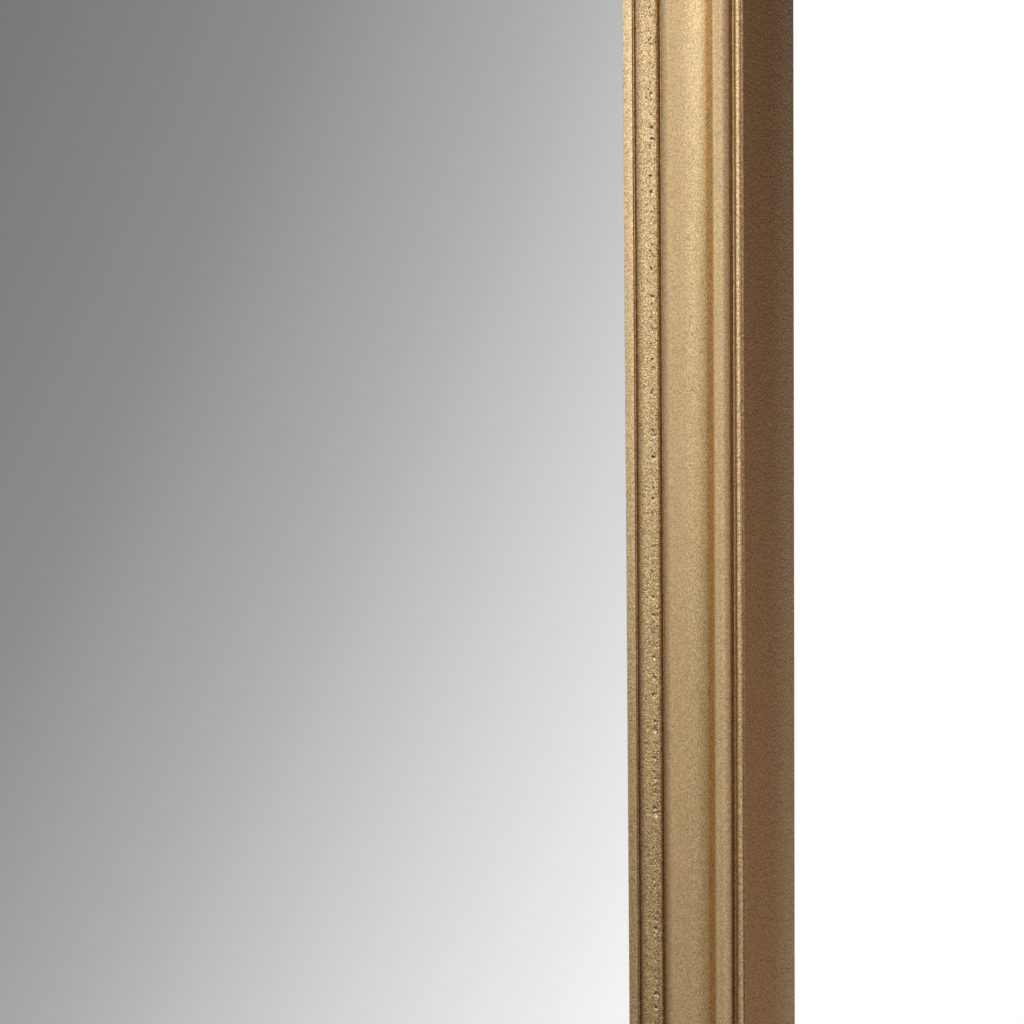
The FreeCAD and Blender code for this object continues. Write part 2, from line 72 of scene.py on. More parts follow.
class Signal:  # a socket that takes part in plain expressions
    def __init__(self, tree, socket=None):
        self.tree = tree
        self.socket = socket

    def make(self, kind, settings=None, inputs=None, output=0):
        node = self.tree.nodes.new(kind)
        for name, value in (settings or {}).items():
            if name == "stops":
                layStops(node.color_ramp, value)
            else:
                setattr(node, name, value)
        self.fill(node, inputs or {})
        return Signal(self.tree, node.outputs[output])

    def fill(self, node, inputs):
        for name, value in inputs.items():
            self.feed(node.inputs[name], value)

    def feed(self, socket, value):
        if isinstance(value, Signal):
            self.tree.links.new(value.socket, socket)
        else:
            socket.default_value = value

    def calc(self, operation, *values):
        return self.make("ShaderNodeMath", {"operation": operation}, dict(enumerate(values)))

    def __add__(self, other):
        return self.calc("ADD", self, other)

    def __radd__(self, other):
        return self.calc("ADD", other, self)

    def __sub__(self, other):
        return self.calc("SUBTRACT", self, other)

    def __rsub__(self, other):
        return self.calc("SUBTRACT", other, self)

    def __mul__(self, other):
        return self.calc("MULTIPLY", self, other)

    def __rmul__(self, other):
        return self.calc("MULTIPLY", other, self)

    def __abs__(self):
        return self.calc("ABSOLUTE", self)

    def rise(self, low, high):  # 0 below low, 1 above high, smooth between
        settings = {"interpolation_type": "SMOOTHSTEP"}
        return self.make("ShaderNodeMapRange", settings, {0: self, 1: low, 2: high, 3: 0.0, 4: 1.0})

    def band(self, low, high, soft):  # 1 between low and high
        return self.rise(low - soft, low + soft) * (1 - self.rise(high - soft, high + soft))

    def other(self, name):  # another output of the same node
        return Signal(self.tree, self.socket.node.outputs[name])

    def axis(self, name):  # X, Y or Z of a vector
        return self.make("ShaderNodeSeparateXYZ", None, {0: self}, output=name)

    def vector(self, x=0.0, y=0.0, z=0.0):
        return self.make("ShaderNodeCombineXYZ", None, {0: x, 1: y, 2: z})

    def scaled(self, factor):  # a vector or a colour
        return self.make("ShaderNodeVectorMath", {"operation": "SCALE"}, {0: self, "Scale": factor})

    def blend(self, first, second):  # colours, by this signal
        inputs = {0: self, 6: opaque(first), 7: opaque(second)}
        return self.make("ShaderNodeMix", {"data_type": "RGBA"}, inputs, output=2)


def opaque(colour):  # a plain colour gets its alpha, a signal stays as it is
    return colour if isinstance(colour, Signal) else (*colour, 1.0)


def layStops(ramp, stops):
    while len(ramp.elements) < len(stops):
        ramp.elements.new(1.0)
    for element, (place, colour) in zip(ramp.elements, stops):
        element.position = place
        element.color = opaque(colour)


# material helpers

def startMaterial(name):
    material = bpy.data.materials.new(name)
    material.use_nodes = True
    graph = Signal(material.node_tree)
    surface = material.node_tree.nodes["Principled BSDF"]
    return material, graph, surface


def objectPlace(graph):
    return graph.make("ShaderNodeTexCoord", output="Object")


def noise(graph, where, size, detail=2.0, rough=0.5):  # size is the width of a mark
    inputs = {"Vector": where, "Scale": 1 / (size * mm), "Detail": detail, "Roughness": rough}
    return graph.make("ShaderNodeTexNoise", None, inputs)


def stretch(graph, where, scale):
    return graph.make("ShaderNodeMapping", None, {"Vector": where, "Scale": scale})


def relief(graph, surface, height, depth):  # height runs about 0 to 1, depth is its size
    inputs = {"Strength": 1.0, "Distance": depth * mm, "Height": height}
    graph.feed(surface.inputs["Normal"], graph.make("ShaderNodeBump", None, inputs))


metal = {  # what every steel of the back shares
    "drawn": 0.25,  # width of a drawing mark
    "patches": (0.3, 0.7),  # where the cloud passes from the dark tone to the light one
    "polish": 0.08,
    "cloudRough": 0.1,
    "drawnRough": 0.08,
    "drawnRelief": 0.6,
    "cloudRelief": 0.4,
    "relief": 0.012,
}


def steel(name, piece):  # the piece's own dictionary holds its tones
    material, graph, surface = startMaterial(name)
    where = objectPlace(graph)
    cloud = noise(graph, where, piece["patch"], detail=4.0, rough=0.6)
    drawn = noise(graph, stretch(graph, where, piece["drawnAlong"]), metal["drawn"])
    polish = piece["roughness"] - metal["polish"]
    graph.fill(surface, {
        "Base Color": cloud.rise(*metal["patches"]).blend(piece["dark"], piece["light"]),
        "Metallic": 1.0,
        "Roughness": polish + cloud * metal["cloudRough"] + drawn * metal["drawnRough"],
    })
    bumps = drawn * metal["drawnRelief"] + cloud * metal["cloudRelief"]
    relief(graph, surface, bumps, metal["relief"])
    return material


# mesh helpers

weld = 0.002  # points nearer than this are one


def standIn(name, data):
    host = bpy.data.objects.new(name, data)
    scene.collection.objects.link(host)
    return host


def addPiece(name, mesh, slot, *nodes, body="frame"):
    piece = standIn(name, mesh)
    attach(piece, body)
    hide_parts(*nodes)
    return piece


def newMesh(name, verts, faces, edges=()):
    mesh = bpy.data.meshes.new(name)
    mesh.from_pydata(verts, edges, faces)
    return mesh


def meshFrom(shell, name):
    mesh = bpy.data.meshes.new(name)
    shell.to_mesh(mesh)
    shell.free()
    return mesh


def takeMesh(host):  # the host's shape as a plain mesh; the host goes
    shape = host.evaluated_get(bpy.context.evaluated_depsgraph_get())
    mesh = bpy.data.meshes.new_from_object(shape)
    host.modifiers.clear()
    bpy.data.objects.remove(host)
    return mesh


def finishMesh(mesh, sharpFrom=35.0):  # closed, facing outwards, smooth between sharp edges
    shell = bmesh.new()
    shell.from_mesh(mesh)
    bmesh.ops.remove_doubles(shell, verts=shell.verts, dist=weld * mm)
    bmesh.ops.recalc_face_normals(shell, faces=shell.faces)
    shell.to_mesh(mesh)
    shell.free()
    mesh.shade_smooth()
    mesh.set_sharp_from_angle(angle=math.radians(sharpFrom))
    return mesh


def thickenMesh(mesh, thickness, bevel, side, bevelFrom=50.0):  # a sheet, thickened towards side
    sheet = bmesh.new()
    sheet.from_mesh(mesh)
    bmesh.ops.recalc_face_normals(sheet, faces=sheet.faces)
    sheet.faces.ensure_lookup_table()
    if sheet.faces[0].normal.dot(Vector(side)) < 0:
        bmesh.ops.reverse_faces(sheet, faces=sheet.faces)
    sheet.to_mesh(mesh)
    sheet.free()
    host = standIn("sheet", mesh)
    wall = host.modifiers.new("wall", "SOLIDIFY")
    wall.thickness = thickness
    wall.offset = 1.0
    wall.use_even_offset = True
    edge = host.modifiers.new("edge", "BEVEL")
    edge.width = bevel
    edge.segments = 2
    edge.limit_method = "ANGLE"
    edge.angle_limit = math.radians(bevelFrom)
    return finishMesh(takeMesh(host))


def gridFaces(rows, columns, closed):  # quads between rows of points
    faces = []
    for row in range(rows - 1):
        low, high = row * columns, (row + 1) * columns
        for step in range(columns if closed else columns - 1):
            following = (step + 1) % columns
            faces.append((low + step, low + following, high + following, high + step))
    return faces


def circleAngles(sides):
    return [2 * math.pi * step / sides for step in range(sides)]


def arcPoints(centre, radius, start, end, count):  # angles in degrees
    points = []
    for step in range(count + 1):
        angle = math.radians(start + (end - start) * step / count)
        points.append((centre[0] + radius * math.cos(angle), centre[1] + radius * math.sin(angle)))
    return points


def softenCorner(before, corner, after, radius, count=4):
    here = Vector(corner)
    toBefore = (Vector(before) - here).normalized()
    toAfter = (Vector(after) - here).normalized()
    half = toBefore.angle(toAfter) / 2
    reach = radius / math.tan(half)
    centre = here + (toBefore + toAfter).normalized() * (radius / math.sin(half))
    first = here + toBefore * reach - centre
    last = here + toAfter * reach - centre
    turn = first.angle_signed(last)
    points = []
    for step in range(count + 1):
        points.append(tuple(centre + Matrix.Rotation(-turn * step / count, 2) @ first))
    return points


def softOutline(corners):  # a corner is (x, y), or (x, y, radius) where it is rounded
    points = []
    for index, corner in enumerate(corners):
        if len(corner) == 2:
            points.append(corner)
            continue
        before = corners[index - 1][:2]
        after = corners[(index + 1) % len(corners)][:2]
        points.extend(softenCorner(before, corner[:2], after, corner[2]))
    return points


def lathe(outline, sides, place, axis):  # outline is (radius, height), height runs along axis
    turnToAxis = Vector((0, 0, 1)).rotation_difference(Vector(axis)).to_matrix()
    verts = []
    for radius, height in outline:
        for angle in circleAngles(sides):
            local = Vector((radius * math.cos(angle), radius * math.sin(angle), height)) * mm
            verts.append(Vector(place) + turnToAxis @ local)
    return newMesh("turned", verts, gridFaces(len(outline), sides, True))


# geometry node helpers

def startTree(name, inputs):
    tree = bpy.data.node_groups.new(name, "GeometryNodeTree")
    for title, kind in inputs:
        tree.interface.new_socket(title, in_out="INPUT", socket_type="NodeSocket" + kind)
    tree.interface.new_socket("Geometry", in_out="OUTPUT", socket_type="NodeSocketGeometry")
    source = tree.nodes.new("NodeGroupInput")
    values = {title: Signal(tree, source.outputs[title]) for title, _ in inputs}
    return tree, Signal(tree), values


def endTree(tree, graph, rows, material):
    joined = graph.make("GeometryNodeJoinGeometry")
    for row in rows:
        tree.links.new(row.socket, joined.socket.node.inputs[0])
    whole = graph.make("GeometryNodeRealizeInstances", None, {0: joined})
    painted = graph.make("GeometryNodeSetMaterial", None, {"Geometry": whole, "Material": material})
    graph.feed(tree.nodes.new("NodeGroupOutput").inputs[0], painted)
    return tree


def growMesh(name, tree, values, base):
    host = standIn(name, base)
    modifier = host.modifiers.new("shape", "NODES")
    modifier.node_group = tree
    for item in tree.interface.items_tree:
        if item.in_out == "INPUT" and item.name in values:
            modifier[item.identifier] = values[item.name]
    return takeMesh(host)


def copiesInLine(graph, shape, count, start, step, turn=(0.0, 0.0, 0.0)):
    line = {"Count": count, "Start Location": start, "Offset": step}
    spots = graph.make("GeometryNodeMeshLine", None, line)
    copies = {"Points": spots, "Instance": shape, "Rotation": turn}
    return graph.make("GeometryNodeInstanceOnPoints", None, copies)


def quarterTurns(count):  # one turns what faces right to face up
    return (0.0, -count * math.pi / 2, 0.0)


# moulding: one profile swept along four mitred rails

moulding = {
    "rabbetWidth": 8.0,
    "rabbetDepth": 16.0,
    "lipFront": 20.7,
    "lipRight": 3.6,
    "lipRound": 0.5,
    "quirkFloor": 20.1,
    "quirkRound": 0.2,
    "beadLeft": 4.15,
    "beadRight": 13.0,
    "beadTop": 21.1,
    "beadSweep": 3.2,  # width of the bead's rounded inner side
    "beadRound": 1.6,
    "beadDish": 0.14,
    "quirkTwoFloor": 19.3,
    "coveLeft": 13.7,
    "coveFoot": 19.8,
    "coveRight": 39.2,
    "coveTop": 28.95,
    "coveRadius": 27.6,
    "torusRadius": 3.0,
    "torusRight": 45.2,
    "edgeLeft": 46.2,
    "edgeRadius": 1.1,
    "edgeRight": 48.4,
    "edgeFloor": 27.8,
    "shelfRound": 0.3,
    "backRound": 0.15,
    "paintRound": 0.25,  # paint softens the other corners
    "roundFit": 0.98,  # keeps a sliver of flat beside the bead's round
    "steps": {"sweep": 10, "dish": 8, "cove": 30, "torus": 24, "edge": 14},
    "stationPitch": 2.0,
    "sharpFrom": 50.0,  # degrees
    "waviness": 0.05,
    "waves": 90.0,  # to the metre
    "seedStep": 7.0,  # keeps the four rails from waving alike
    "bareRabbet": 0.01,  # the bare wood ends this far past the rabbet's side
    "bareLip": 0.2,  # above its floor
    "bareBack": 0.3,  # and above the back
    "mitreSoft": 0.01,  # the finish turns at a mitre over this much to each side
}

gilding = {
    "gold": (0.735, 0.520, 0.272),
    "paleGold": (0.785, 0.570, 0.312),
    "cloud": 14.0,  # width of the slow change between the two golds
    "coveShade": (0.600, 0.345, 0.085),  # painted shade and painted reflection of the gold in itself: the dark orange band at the top of the cove
    "coveShadeFrom": 32.5,
    "coveShadeSoft": 0.8,
    "coveShadeFade": 0.5,  # it ends this far past the cove
    "coveShadeShare": {"coveShade": 0.75, "bead": 0.10},
    "umber": (0.220, 0.130, 0.066),  # dark umber: painted shade in the hollows, together with the wash an old gilt frame keeps there
    # painted shade on the flat shelf beside the edge bead
    "shelfShadeAndWash": 0.65,
    "quirkShadeAndWash": [  # a line of the profile, the reach of the painted shade and wash to its left and right, and its strength
        ("beadLeft", 0.85, 4.4, 0.95),
        ("coveLeft", 3.2, 2.8, 0.63),
        ("edgeLeft", 1.9, 1.4, 0.66),
    ],
    "shadedBronze": (0.450, 0.270, 0.145),  # the side: a browner gold, darkened further as painted shade of the side that faces away from the light
    "dust": (0.560, 0.400, 0.265),  # the side, paler towards the wall
    "paleReach": 14.0,
    "paleShare": 0.4,
    "paleStreak": 1.2,
    "streak": 1.0,  # width of a streak along the side
    "streakLong": 2.0,  # its length, in widths
    "flake": 0.33,  # width of a metal flake
    "sparkle": 1.15,
    "livelier": {  # more or less sparkle in each zone
        "bead": 0.3, "paleCove": -0.4, "coveShade": 0.6, "torus": -0.35, "side": -0.3,
    },
    "roughness": {"bead": 0.27, "cove": 0.36, "torus": 0.46, "edge": 0.34, "side": 0.42},
    "lipRoughness": 0.32,
    "paleRoughness": 0.47,
    "roughSpread": 0.1,  # how far the coarser relief changes it
    "paleCove": 9.0,  # width of the duller left part of the cove
    "paleSoft": 3.0,
    "zoneSoft": 0.3,
    "edgeSoft": 0.2,
    "sideFrom": 0.35,  # the side's finish starts this far in from the outer edge
    "sideFull": 0.1,
    "relief": 0.08,  # depth of a mark that is 1 high
    "grain": 0.32,  # width of the fine relief
    "grainHigh": 0.4,
    "beadGrain": 0.8,
    "leather": 0.8,  # width of the coarser relief
    "leatherHigh": {"bead": 1.1, "edge": 1.2, "side": 1.4},
    "streakHigh": 1.2,
}

bubble = {  # blown bubbles that left dents along the bead
    "rows": [(7.5, 0.85), (3.1, 0.45)],  # spacing and radius
    "place": 10.6,  # across the moulding
    "stray": 1.4,
    "least": 0.4,  # the smallest, as a share of the radius
    "flat": 0.3,  # share of a dent that is level
    "depth": 3.0,
    "shadeAbove": 0.45,  # painted shade of the dent's upper wall sits this far up from it
    "shadeShare": 0.55,
    "dentHighlight": (0.98, 0.76, 0.46),  # painted highlight on the dent's lower rim
    "highlightBelow": 0.60,  # this far down from it
    "highlightShare": 0.75,
}

pimple = {  # in the paint of the side
    "cell": 6.0,
    "width": 0.07,  # of the largest, in cells
    "least": 0.001,
    "drawn": (0.40, 0.70),  # a draw below the first leaves its cell empty
    "flat": 0.35,
    "faint": 0.2,  # the smallest fade away
    "high": 2.2,
}


def mouldingPlace(graph):  # object coordinates, and places across, up and along the moulding
    where = objectPlace(graph)
    x, y, z = (where.axis(name) for name in "XYZ")
    sideways = abs(x) - halfSightWide
    upwards = abs(z) - halfSightTall
    across = graph.calc("MAXIMUM", sideways, upwards) * (1 / mm)
    height = (backFace - y) * (1 / mm)
    soft = moulding["mitreSoft"] * mm
    onStile = (sideways - upwards).rise(-soft, soft)
    along = onStile * z + (1 - onStile) * x
    return where, across, height, along


def pimples(graph, where):  # round marks of mixed sizes, about half the cells hold one
    inputs = {"Vector": where, "Scale": 1 / (pimple["cell"] * mm)}
    centre = graph.make("ShaderNodeTexVoronoi", None, inputs)
    size = centre.other("Color").rise(*pimple["drawn"])
    reach = graph.calc("DIVIDE", centre, size * pimple["width"] + pimple["least"])
    return (1 - reach.rise(pimple["flat"], 1.0)) * size.rise(0.0, pimple["faint"])


def dentRow(graph, across, along, cell, radius):  # one dent to a cell along the rail, of mixed sizes
    inputs = {"W": along * (1 / (cell * mm)), "Scale": 1.0}
    centre = graph.make("ShaderNodeTexVoronoi", {"voronoi_dimensions": "1D"}, inputs)
    draw = centre.other("Color")
    aside = across - bubble["place"] - (draw - even) * bubble["stray"]
    apart = centre * cell
    reach = graph.calc("SQRT", aside * aside + apart * apart)
    reach = graph.calc("DIVIDE", reach, (bubble["least"] + draw) * radius)
    return 1 - reach.rise(bubble["flat"], 1.0)


def dents(graph, across, along, zones):
    return sum(dentRow(graph, across, along, *row) for row in bubble["rows"]) * zones["bead"]


def gildedZones(across):  # where each part of the profile lies, 0 to 1
    soft, fine, coveShadeSoft = (gilding[name] for name in ("zoneSoft", "edgeSoft", "coveShadeSoft"))
    outer = railWidth / mm
    coveLeft, coveRight = moulding["coveLeft"], moulding["coveRight"]
    side = across.rise(outer - gilding["sideFrom"], outer - gilding["sideFull"])
    # where the painted shade of the upper cove lies
    coveShaded = across.rise(gilding["coveShadeFrom"] - coveShadeSoft, gilding["coveShadeFrom"] + coveShadeSoft)
    return {
        "bead": across.band(moulding["beadLeft"], moulding["beadRight"], soft),
        "cove": across.band(coveLeft, coveRight, soft),
        "paleCove": across.band(coveLeft, coveLeft + gilding["paleCove"], gilding["paleSoft"]),
        "coveShade": coveShaded * (1 - across.rise(coveRight - soft, coveRight + gilding["coveShadeFade"])),
        "torus": across.band(coveRight, moulding["torusRight"], soft),
        "edge": across.band(moulding["edgeLeft"], moulding["edgeRight"], fine),
        "shelf": across.band(moulding["edgeRight"], outer, fine) * (1 - side),
        "side": side,
    }


def weigh(zones, shares):  # one value from the shares of the zones
    return sum(zones[zone] * share for zone, share in shares.items())


def shadeAndWash(across, zones, dentShade):  # painted shade on the shelf, in the quirks and above the dents, with some umber wash in the quirks
    shadedAndWashed = zones["shelf"] * gilding["shelfShadeAndWash"]
    for line, left, right, strength in gilding["quirkShadeAndWash"]:
        place = moulding[line]
        near = across.rise(place - left, place) * (1 - across.rise(place, place + right))
        shadedAndWashed = shadedAndWashed + near * strength
    return shadedAndWashed + dentShade * bubble["shadeShare"]


def gildedTone(graph, where, height, zones, streak, shadedAndWashed, dentHighlight):
    cloud = noise(graph, where, gilding["cloud"], detail=3.0)
    tone = cloud.blend(gilding["gold"], gilding["paleGold"])
    # painted shade: the upper cove, and a little of the bead, take the dark orange
    tone = weigh(zones, gilding["coveShadeShare"]).blend(tone, gilding["coveShade"])
    # painted shade and umber wash darken the quirks, the cove's foot and the shelf
    tone = shadedAndWashed.blend(tone, gilding["umber"])
    # painted highlight on the lower rim of each dent
    tone = (dentHighlight * bubble["highlightShare"]).blend(tone, bubble["dentHighlight"])
    # the side grows paler towards the wall, more so in streaks
    dusty = 1 - height.rise(0.0, gilding["paleReach"])
    dusty = dusty * (gilding["paleShare"] + streak * gilding["paleStreak"])
    # the side turns to the browner tone, partly its own paint and partly painted shade
    tone = zones["side"].blend(tone, dusty.blend(gilding["shadedBronze"], gilding["dust"]))
    cells = {"Vector": where, "Scale": 1 / (gilding["flake"] * mm)}
    flake = graph.make("ShaderNodeTexVoronoi", None, cells, output="Color")
    lively = 1 + weigh(zones, gilding["livelier"])
    return tone.scaled(1 + (flake - even) * lively * gilding["sparkle"])


def gildedRoughness(zones, leather):
    lip, spread = gilding["lipRoughness"], gilding["roughSpread"]
    changes = {zone: rough - lip for zone, rough in gilding["roughness"].items()}
    paler = gilding["paleRoughness"] - gilding["roughness"]["cove"]
    plain = lip - spread / 2 + leather * spread
    return plain + weigh(zones, changes) + zones["paleCove"] * zones["cove"] * paler


def gildedFinish():
    material, graph, surface = startMaterial("gildedFinish")
    where, across, height, along = mouldingPlace(graph)
    zones = gildedZones(across)
    spot = graph.vector(across * mm, height * mm, along * (1 / gilding["streakLong"]))
    streak = noise(graph, spot, gilding["streak"], detail=3.0, rough=0.6)
    # painted shade on the upper wall of each dent
    dentShade = dents(graph, across, along - bubble["shadeAbove"] * mm, zones)
    # painted highlight below each dent
    dentHighlight = dents(graph, across, along + bubble["highlightBelow"] * mm, zones)
    shadedAndWashed = shadeAndWash(across, zones, dentShade)

    # grain, dents along the bead, streaks and pimples on the side
    grain = noise(graph, where, gilding["grain"], detail=1.0)
    leather = noise(graph, where, gilding["leather"], detail=2.0)
    bumps = grain * (gilding["grainHigh"] + zones["bead"] * gilding["beadGrain"])
    bumps = bumps + leather * weigh(zones, gilding["leatherHigh"])
    bumps = bumps + streak * zones["side"] * gilding["streakHigh"]
    bumps = bumps + pimples(graph, where) * zones["side"] * pimple["high"]
    bumps = bumps - dents(graph, across, along, zones) * bubble["depth"]
    relief(graph, surface, bumps, gilding["relief"])
    graph.fill(surface, {
        "Base Color": gildedTone(graph, where, height, zones, streak, shadedAndWashed, dentHighlight),
        "Metallic": 1.0,
        "Roughness": gildedRoughness(zones, leather),
    })
    return material


timber = {  # the bare wood of the back and the rabbet
    "pale": (0.560, 0.400, 0.240),
    "dark": (0.400, 0.260, 0.140),
    "fibre": (0.35, 0.35, 9.0),  # width, height and length of a fibre
    "broad": 0.09,  # scale of the broad bands, where the fibres have 1
    "broadEdge": (0.35, 0.65),
    "roughness": 0.72,
    "fibreRough": 0.1,
    "relief": 0.12,
    "mistFrom": 0.5,  # past the outer edge, once the mist's strays are added
    "mistFull": 4.5,
    "mistCloud": 9.0,  # width of a cloud in its ragged edge
    "cloudStray": 9.0,
    "mistSpeck": 0.5,  # width of a speck in it
    "speckStray": 3.0,
    "mistMetal": 0.8,
    "mistPolish": 0.25,
}


def rawTimber():
    material, graph, surface = startMaterial("rawTimber")
    where, across, height, along = mouldingPlace(graph)
    wide, tall, long = timber["fibre"]
    fibres = graph.vector(across * (1 / wide), height * (1 / tall), along * (1 / (long * mm)))
    narrow = {"Vector": fibres, "Scale": 1.0, "Detail": 3.0}
    fine = graph.make("ShaderNodeTexNoise", None, narrow)
    bands = {"Vector": fibres, "Scale": timber["broad"], "Detail": 2.0}
    broad = graph.make("ShaderNodeTexNoise", None, bands).rise(*timber["broadEdge"])
    wood = ((fine + broad) * 0.5).blend(timber["pale"], timber["dark"])

    # gold mist that drifted round the outer edge when the front was sprayed
    ragged = noise(graph, where, timber["mistCloud"], detail=4.0, rough=0.65)
    speck = noise(graph, where, timber["mistSpeck"])
    drift = across + ragged * timber["cloudStray"] + speck * timber["speckStray"]
    mist = drift.rise(railWidth / mm + timber["mistFrom"], railWidth / mm + timber["mistFull"])
    dull = timber["roughness"] - mist * timber["mistPolish"]
    graph.fill(surface, {
        "Base Color": mist.blend(wood, gilding["gold"]),
        "Metallic": mist * timber["mistMetal"],
        "Roughness": dull + fine * timber["fibreRough"],
    })
    relief(graph, surface, fine, timber["relief"])
    return material


def beadPoints(sizes):  # rounded inner side, then a faintly dished top
    run = sizes["beadSweep"]
    drop = sizes["beadTop"] - sizes["quirkFloor"]
    radius = (run * run + drop * drop) / (2 * drop)
    centre = (sizes["beadLeft"] + run, sizes["beadTop"] - radius)
    spread = math.degrees(math.asin(run / radius))
    points = arcPoints(centre, radius, 90 + spread, 90, sizes["steps"]["sweep"])
    first = points[-1][0]
    flat = sizes["beadRight"] - sizes["beadRound"] - first
    for step in range(1, sizes["steps"]["dish"]):
        share = step / sizes["steps"]["dish"]
        dip = sizes["beadDish"] * math.sin(math.pi * share) ** 2
        points.append((first + flat * share, sizes["beadTop"] - dip))
    return points


def covePoints(sizes):
    start = Vector((sizes["coveLeft"], sizes["coveFoot"]))
    end = Vector((sizes["coveRight"], sizes["coveTop"]))
    chord = end - start
    lift = math.sqrt(sizes["coveRadius"] ** 2 - (chord.length / 2) ** 2)
    centre = (start + end) / 2 + Vector((-chord.y, chord.x)).normalized() * lift
    first = math.degrees(math.atan2(start.y - centre.y, start.x - centre.x))
    last = math.degrees(math.atan2(end.y - centre.y, end.x - centre.x))
    return arcPoints(centre, sizes["coveRadius"], first, last, sizes["steps"]["cove"])


def mouldingOutline(sizes):  # across and up, from the rabbet over the front to the back
    soft, tight = sizes["paintRound"], sizes["quirkRound"]
    width = railWidth / mm
    torusCentre = (sizes["coveRight"] + sizes["torusRadius"], sizes["coveTop"])
    edgeCentre = (sizes["edgeLeft"] + sizes["edgeRadius"], sizes["edgeFloor"])
    cove = covePoints(sizes)
    corners = [
        (sizes["rabbetWidth"], 0.0, soft),
        (sizes["rabbetWidth"], sizes["rabbetDepth"]),
        (0.0, sizes["rabbetDepth"], soft),
        (0.0, sizes["lipFront"], sizes["lipRound"]),
        (sizes["lipRight"], sizes["lipFront"], soft),
        (sizes["lipRight"], sizes["quirkFloor"], tight),
    ]
    corners += beadPoints(sizes)
    corners += [
        (sizes["beadRight"], sizes["beadTop"], sizes["beadRound"] * sizes["roundFit"]),
        (sizes["beadRight"], sizes["quirkTwoFloor"], tight),
        (sizes["coveLeft"], sizes["quirkTwoFloor"], tight),
        (*cove[0], soft),
    ]
    corners += cove[2:]
    corners += arcPoints(torusCentre, sizes["torusRadius"], 180, 0, sizes["steps"]["torus"])[1:]
    corners += [
        (sizes["torusRight"], sizes["edgeFloor"], soft),
        (sizes["edgeLeft"], sizes["edgeFloor"]),
    ]
    corners += arcPoints(edgeCentre, sizes["edgeRadius"], 180, 0, sizes["steps"]["edge"])[1:]
    corners += [
        (width, sizes["edgeFloor"], sizes["shelfRound"]),
        (width, 0.0, sizes["backRound"]),
    ]
    return softOutline(corners)


def profileMesh(points):
    edges = [(index, (index + 1) % len(points)) for index in range(len(points))]
    return newMesh("profile", [(u * mm, h * mm, 0.0) for u, h in points], [], edges)


def sweptRailTree():
    tree, graph, values = startTree("sweptRail", [
        ("Profile", "Geometry"), ("Half Run", "Float"), ("Half Across", "Float"),
        ("Quarter Turn", "Float"), ("Stations", "Int"), ("Waviness", "Float"),
        ("Rabbet Width", "Float"), ("Gilded", "Material"), ("Timber", "Material"), ("Seed", "Float"),
    ])
    line = graph.make("GeometryNodeCurvePrimitiveLine", None, {"Start": (0, 0, -1), "End": (0, 0, 1)})
    path = graph.make("GeometryNodeResampleCurve", None, {"Curve": line, "Count": values["Stations"]})
    ring = graph.make("GeometryNodeMeshToCurve", None, {0: values["Profile"]})
    swept = {"Curve": path, "Profile Curve": ring, "Fill Caps": True}
    rail = graph.make("GeometryNodeCurveToMesh", None, swept)

    # the back and the rabbet stay bare; the rest is gilded
    place = graph.make("GeometryNodeInputPosition")
    u, h, share = (place.axis(name) for name in "XYZ")
    inRabbet = graph.calc("LESS_THAN", u, values["Rabbet Width"] + moulding["bareRabbet"] * mm)
    behindLip = graph.calc("LESS_THAN", h, (moulding["rabbetDepth"] + moulding["bareLip"]) * mm)
    onBack = graph.calc("LESS_THAN", h, moulding["bareBack"] * mm)
    bare = graph.calc("MAXIMUM", inRabbet * behindLip, onBack)
    coated = {"Geometry": rail, "Material": values["Gilded"]}
    rail = graph.make("GeometryNodeSetMaterial", None, coated)
    uncoated = {"Geometry": rail, "Selection": bare, "Material": values["Timber"]}
    rail = graph.make("GeometryNodeSetMaterial", None, uncoated)

    # mitre the ends and stand the rail in its place
    target = graph.vector(values["Half Across"] + u, backFace - h, share * (values["Half Run"] + u))
    rail = graph.make("GeometryNodeSetPosition", None, {"Geometry": rail, "Position": target})

    # a little unevenness from sanding and paint, none on the bare wood
    waves = {"W": values["Seed"], "Scale": moulding["waves"], "Detail": 2.0}
    waves["Vector"] = graph.make("GeometryNodeInputPosition")
    uneven = graph.make("ShaderNodeTexNoise", {"noise_dimensions": "4D"}, waves)
    amount = (uneven - even) * values["Waviness"] * (1 - bare)
    push = graph.make("GeometryNodeInputNormal").scaled(amount)
    rail = graph.make("GeometryNodeSetPosition", None, {"Geometry": rail, "Offset": push})
    turn = graph.vector(y=values["Quarter Turn"] * (-math.pi / 2))
    rail = graph.make("GeometryNodeTransform", None, {"Geometry": rail, "Rotation": turn})
    whole = graph.make("GeometryNodeRealizeInstances", None, {0: rail})
    graph.feed(tree.nodes.new("NodeGroupOutput").inputs[0], whole)
    return tree


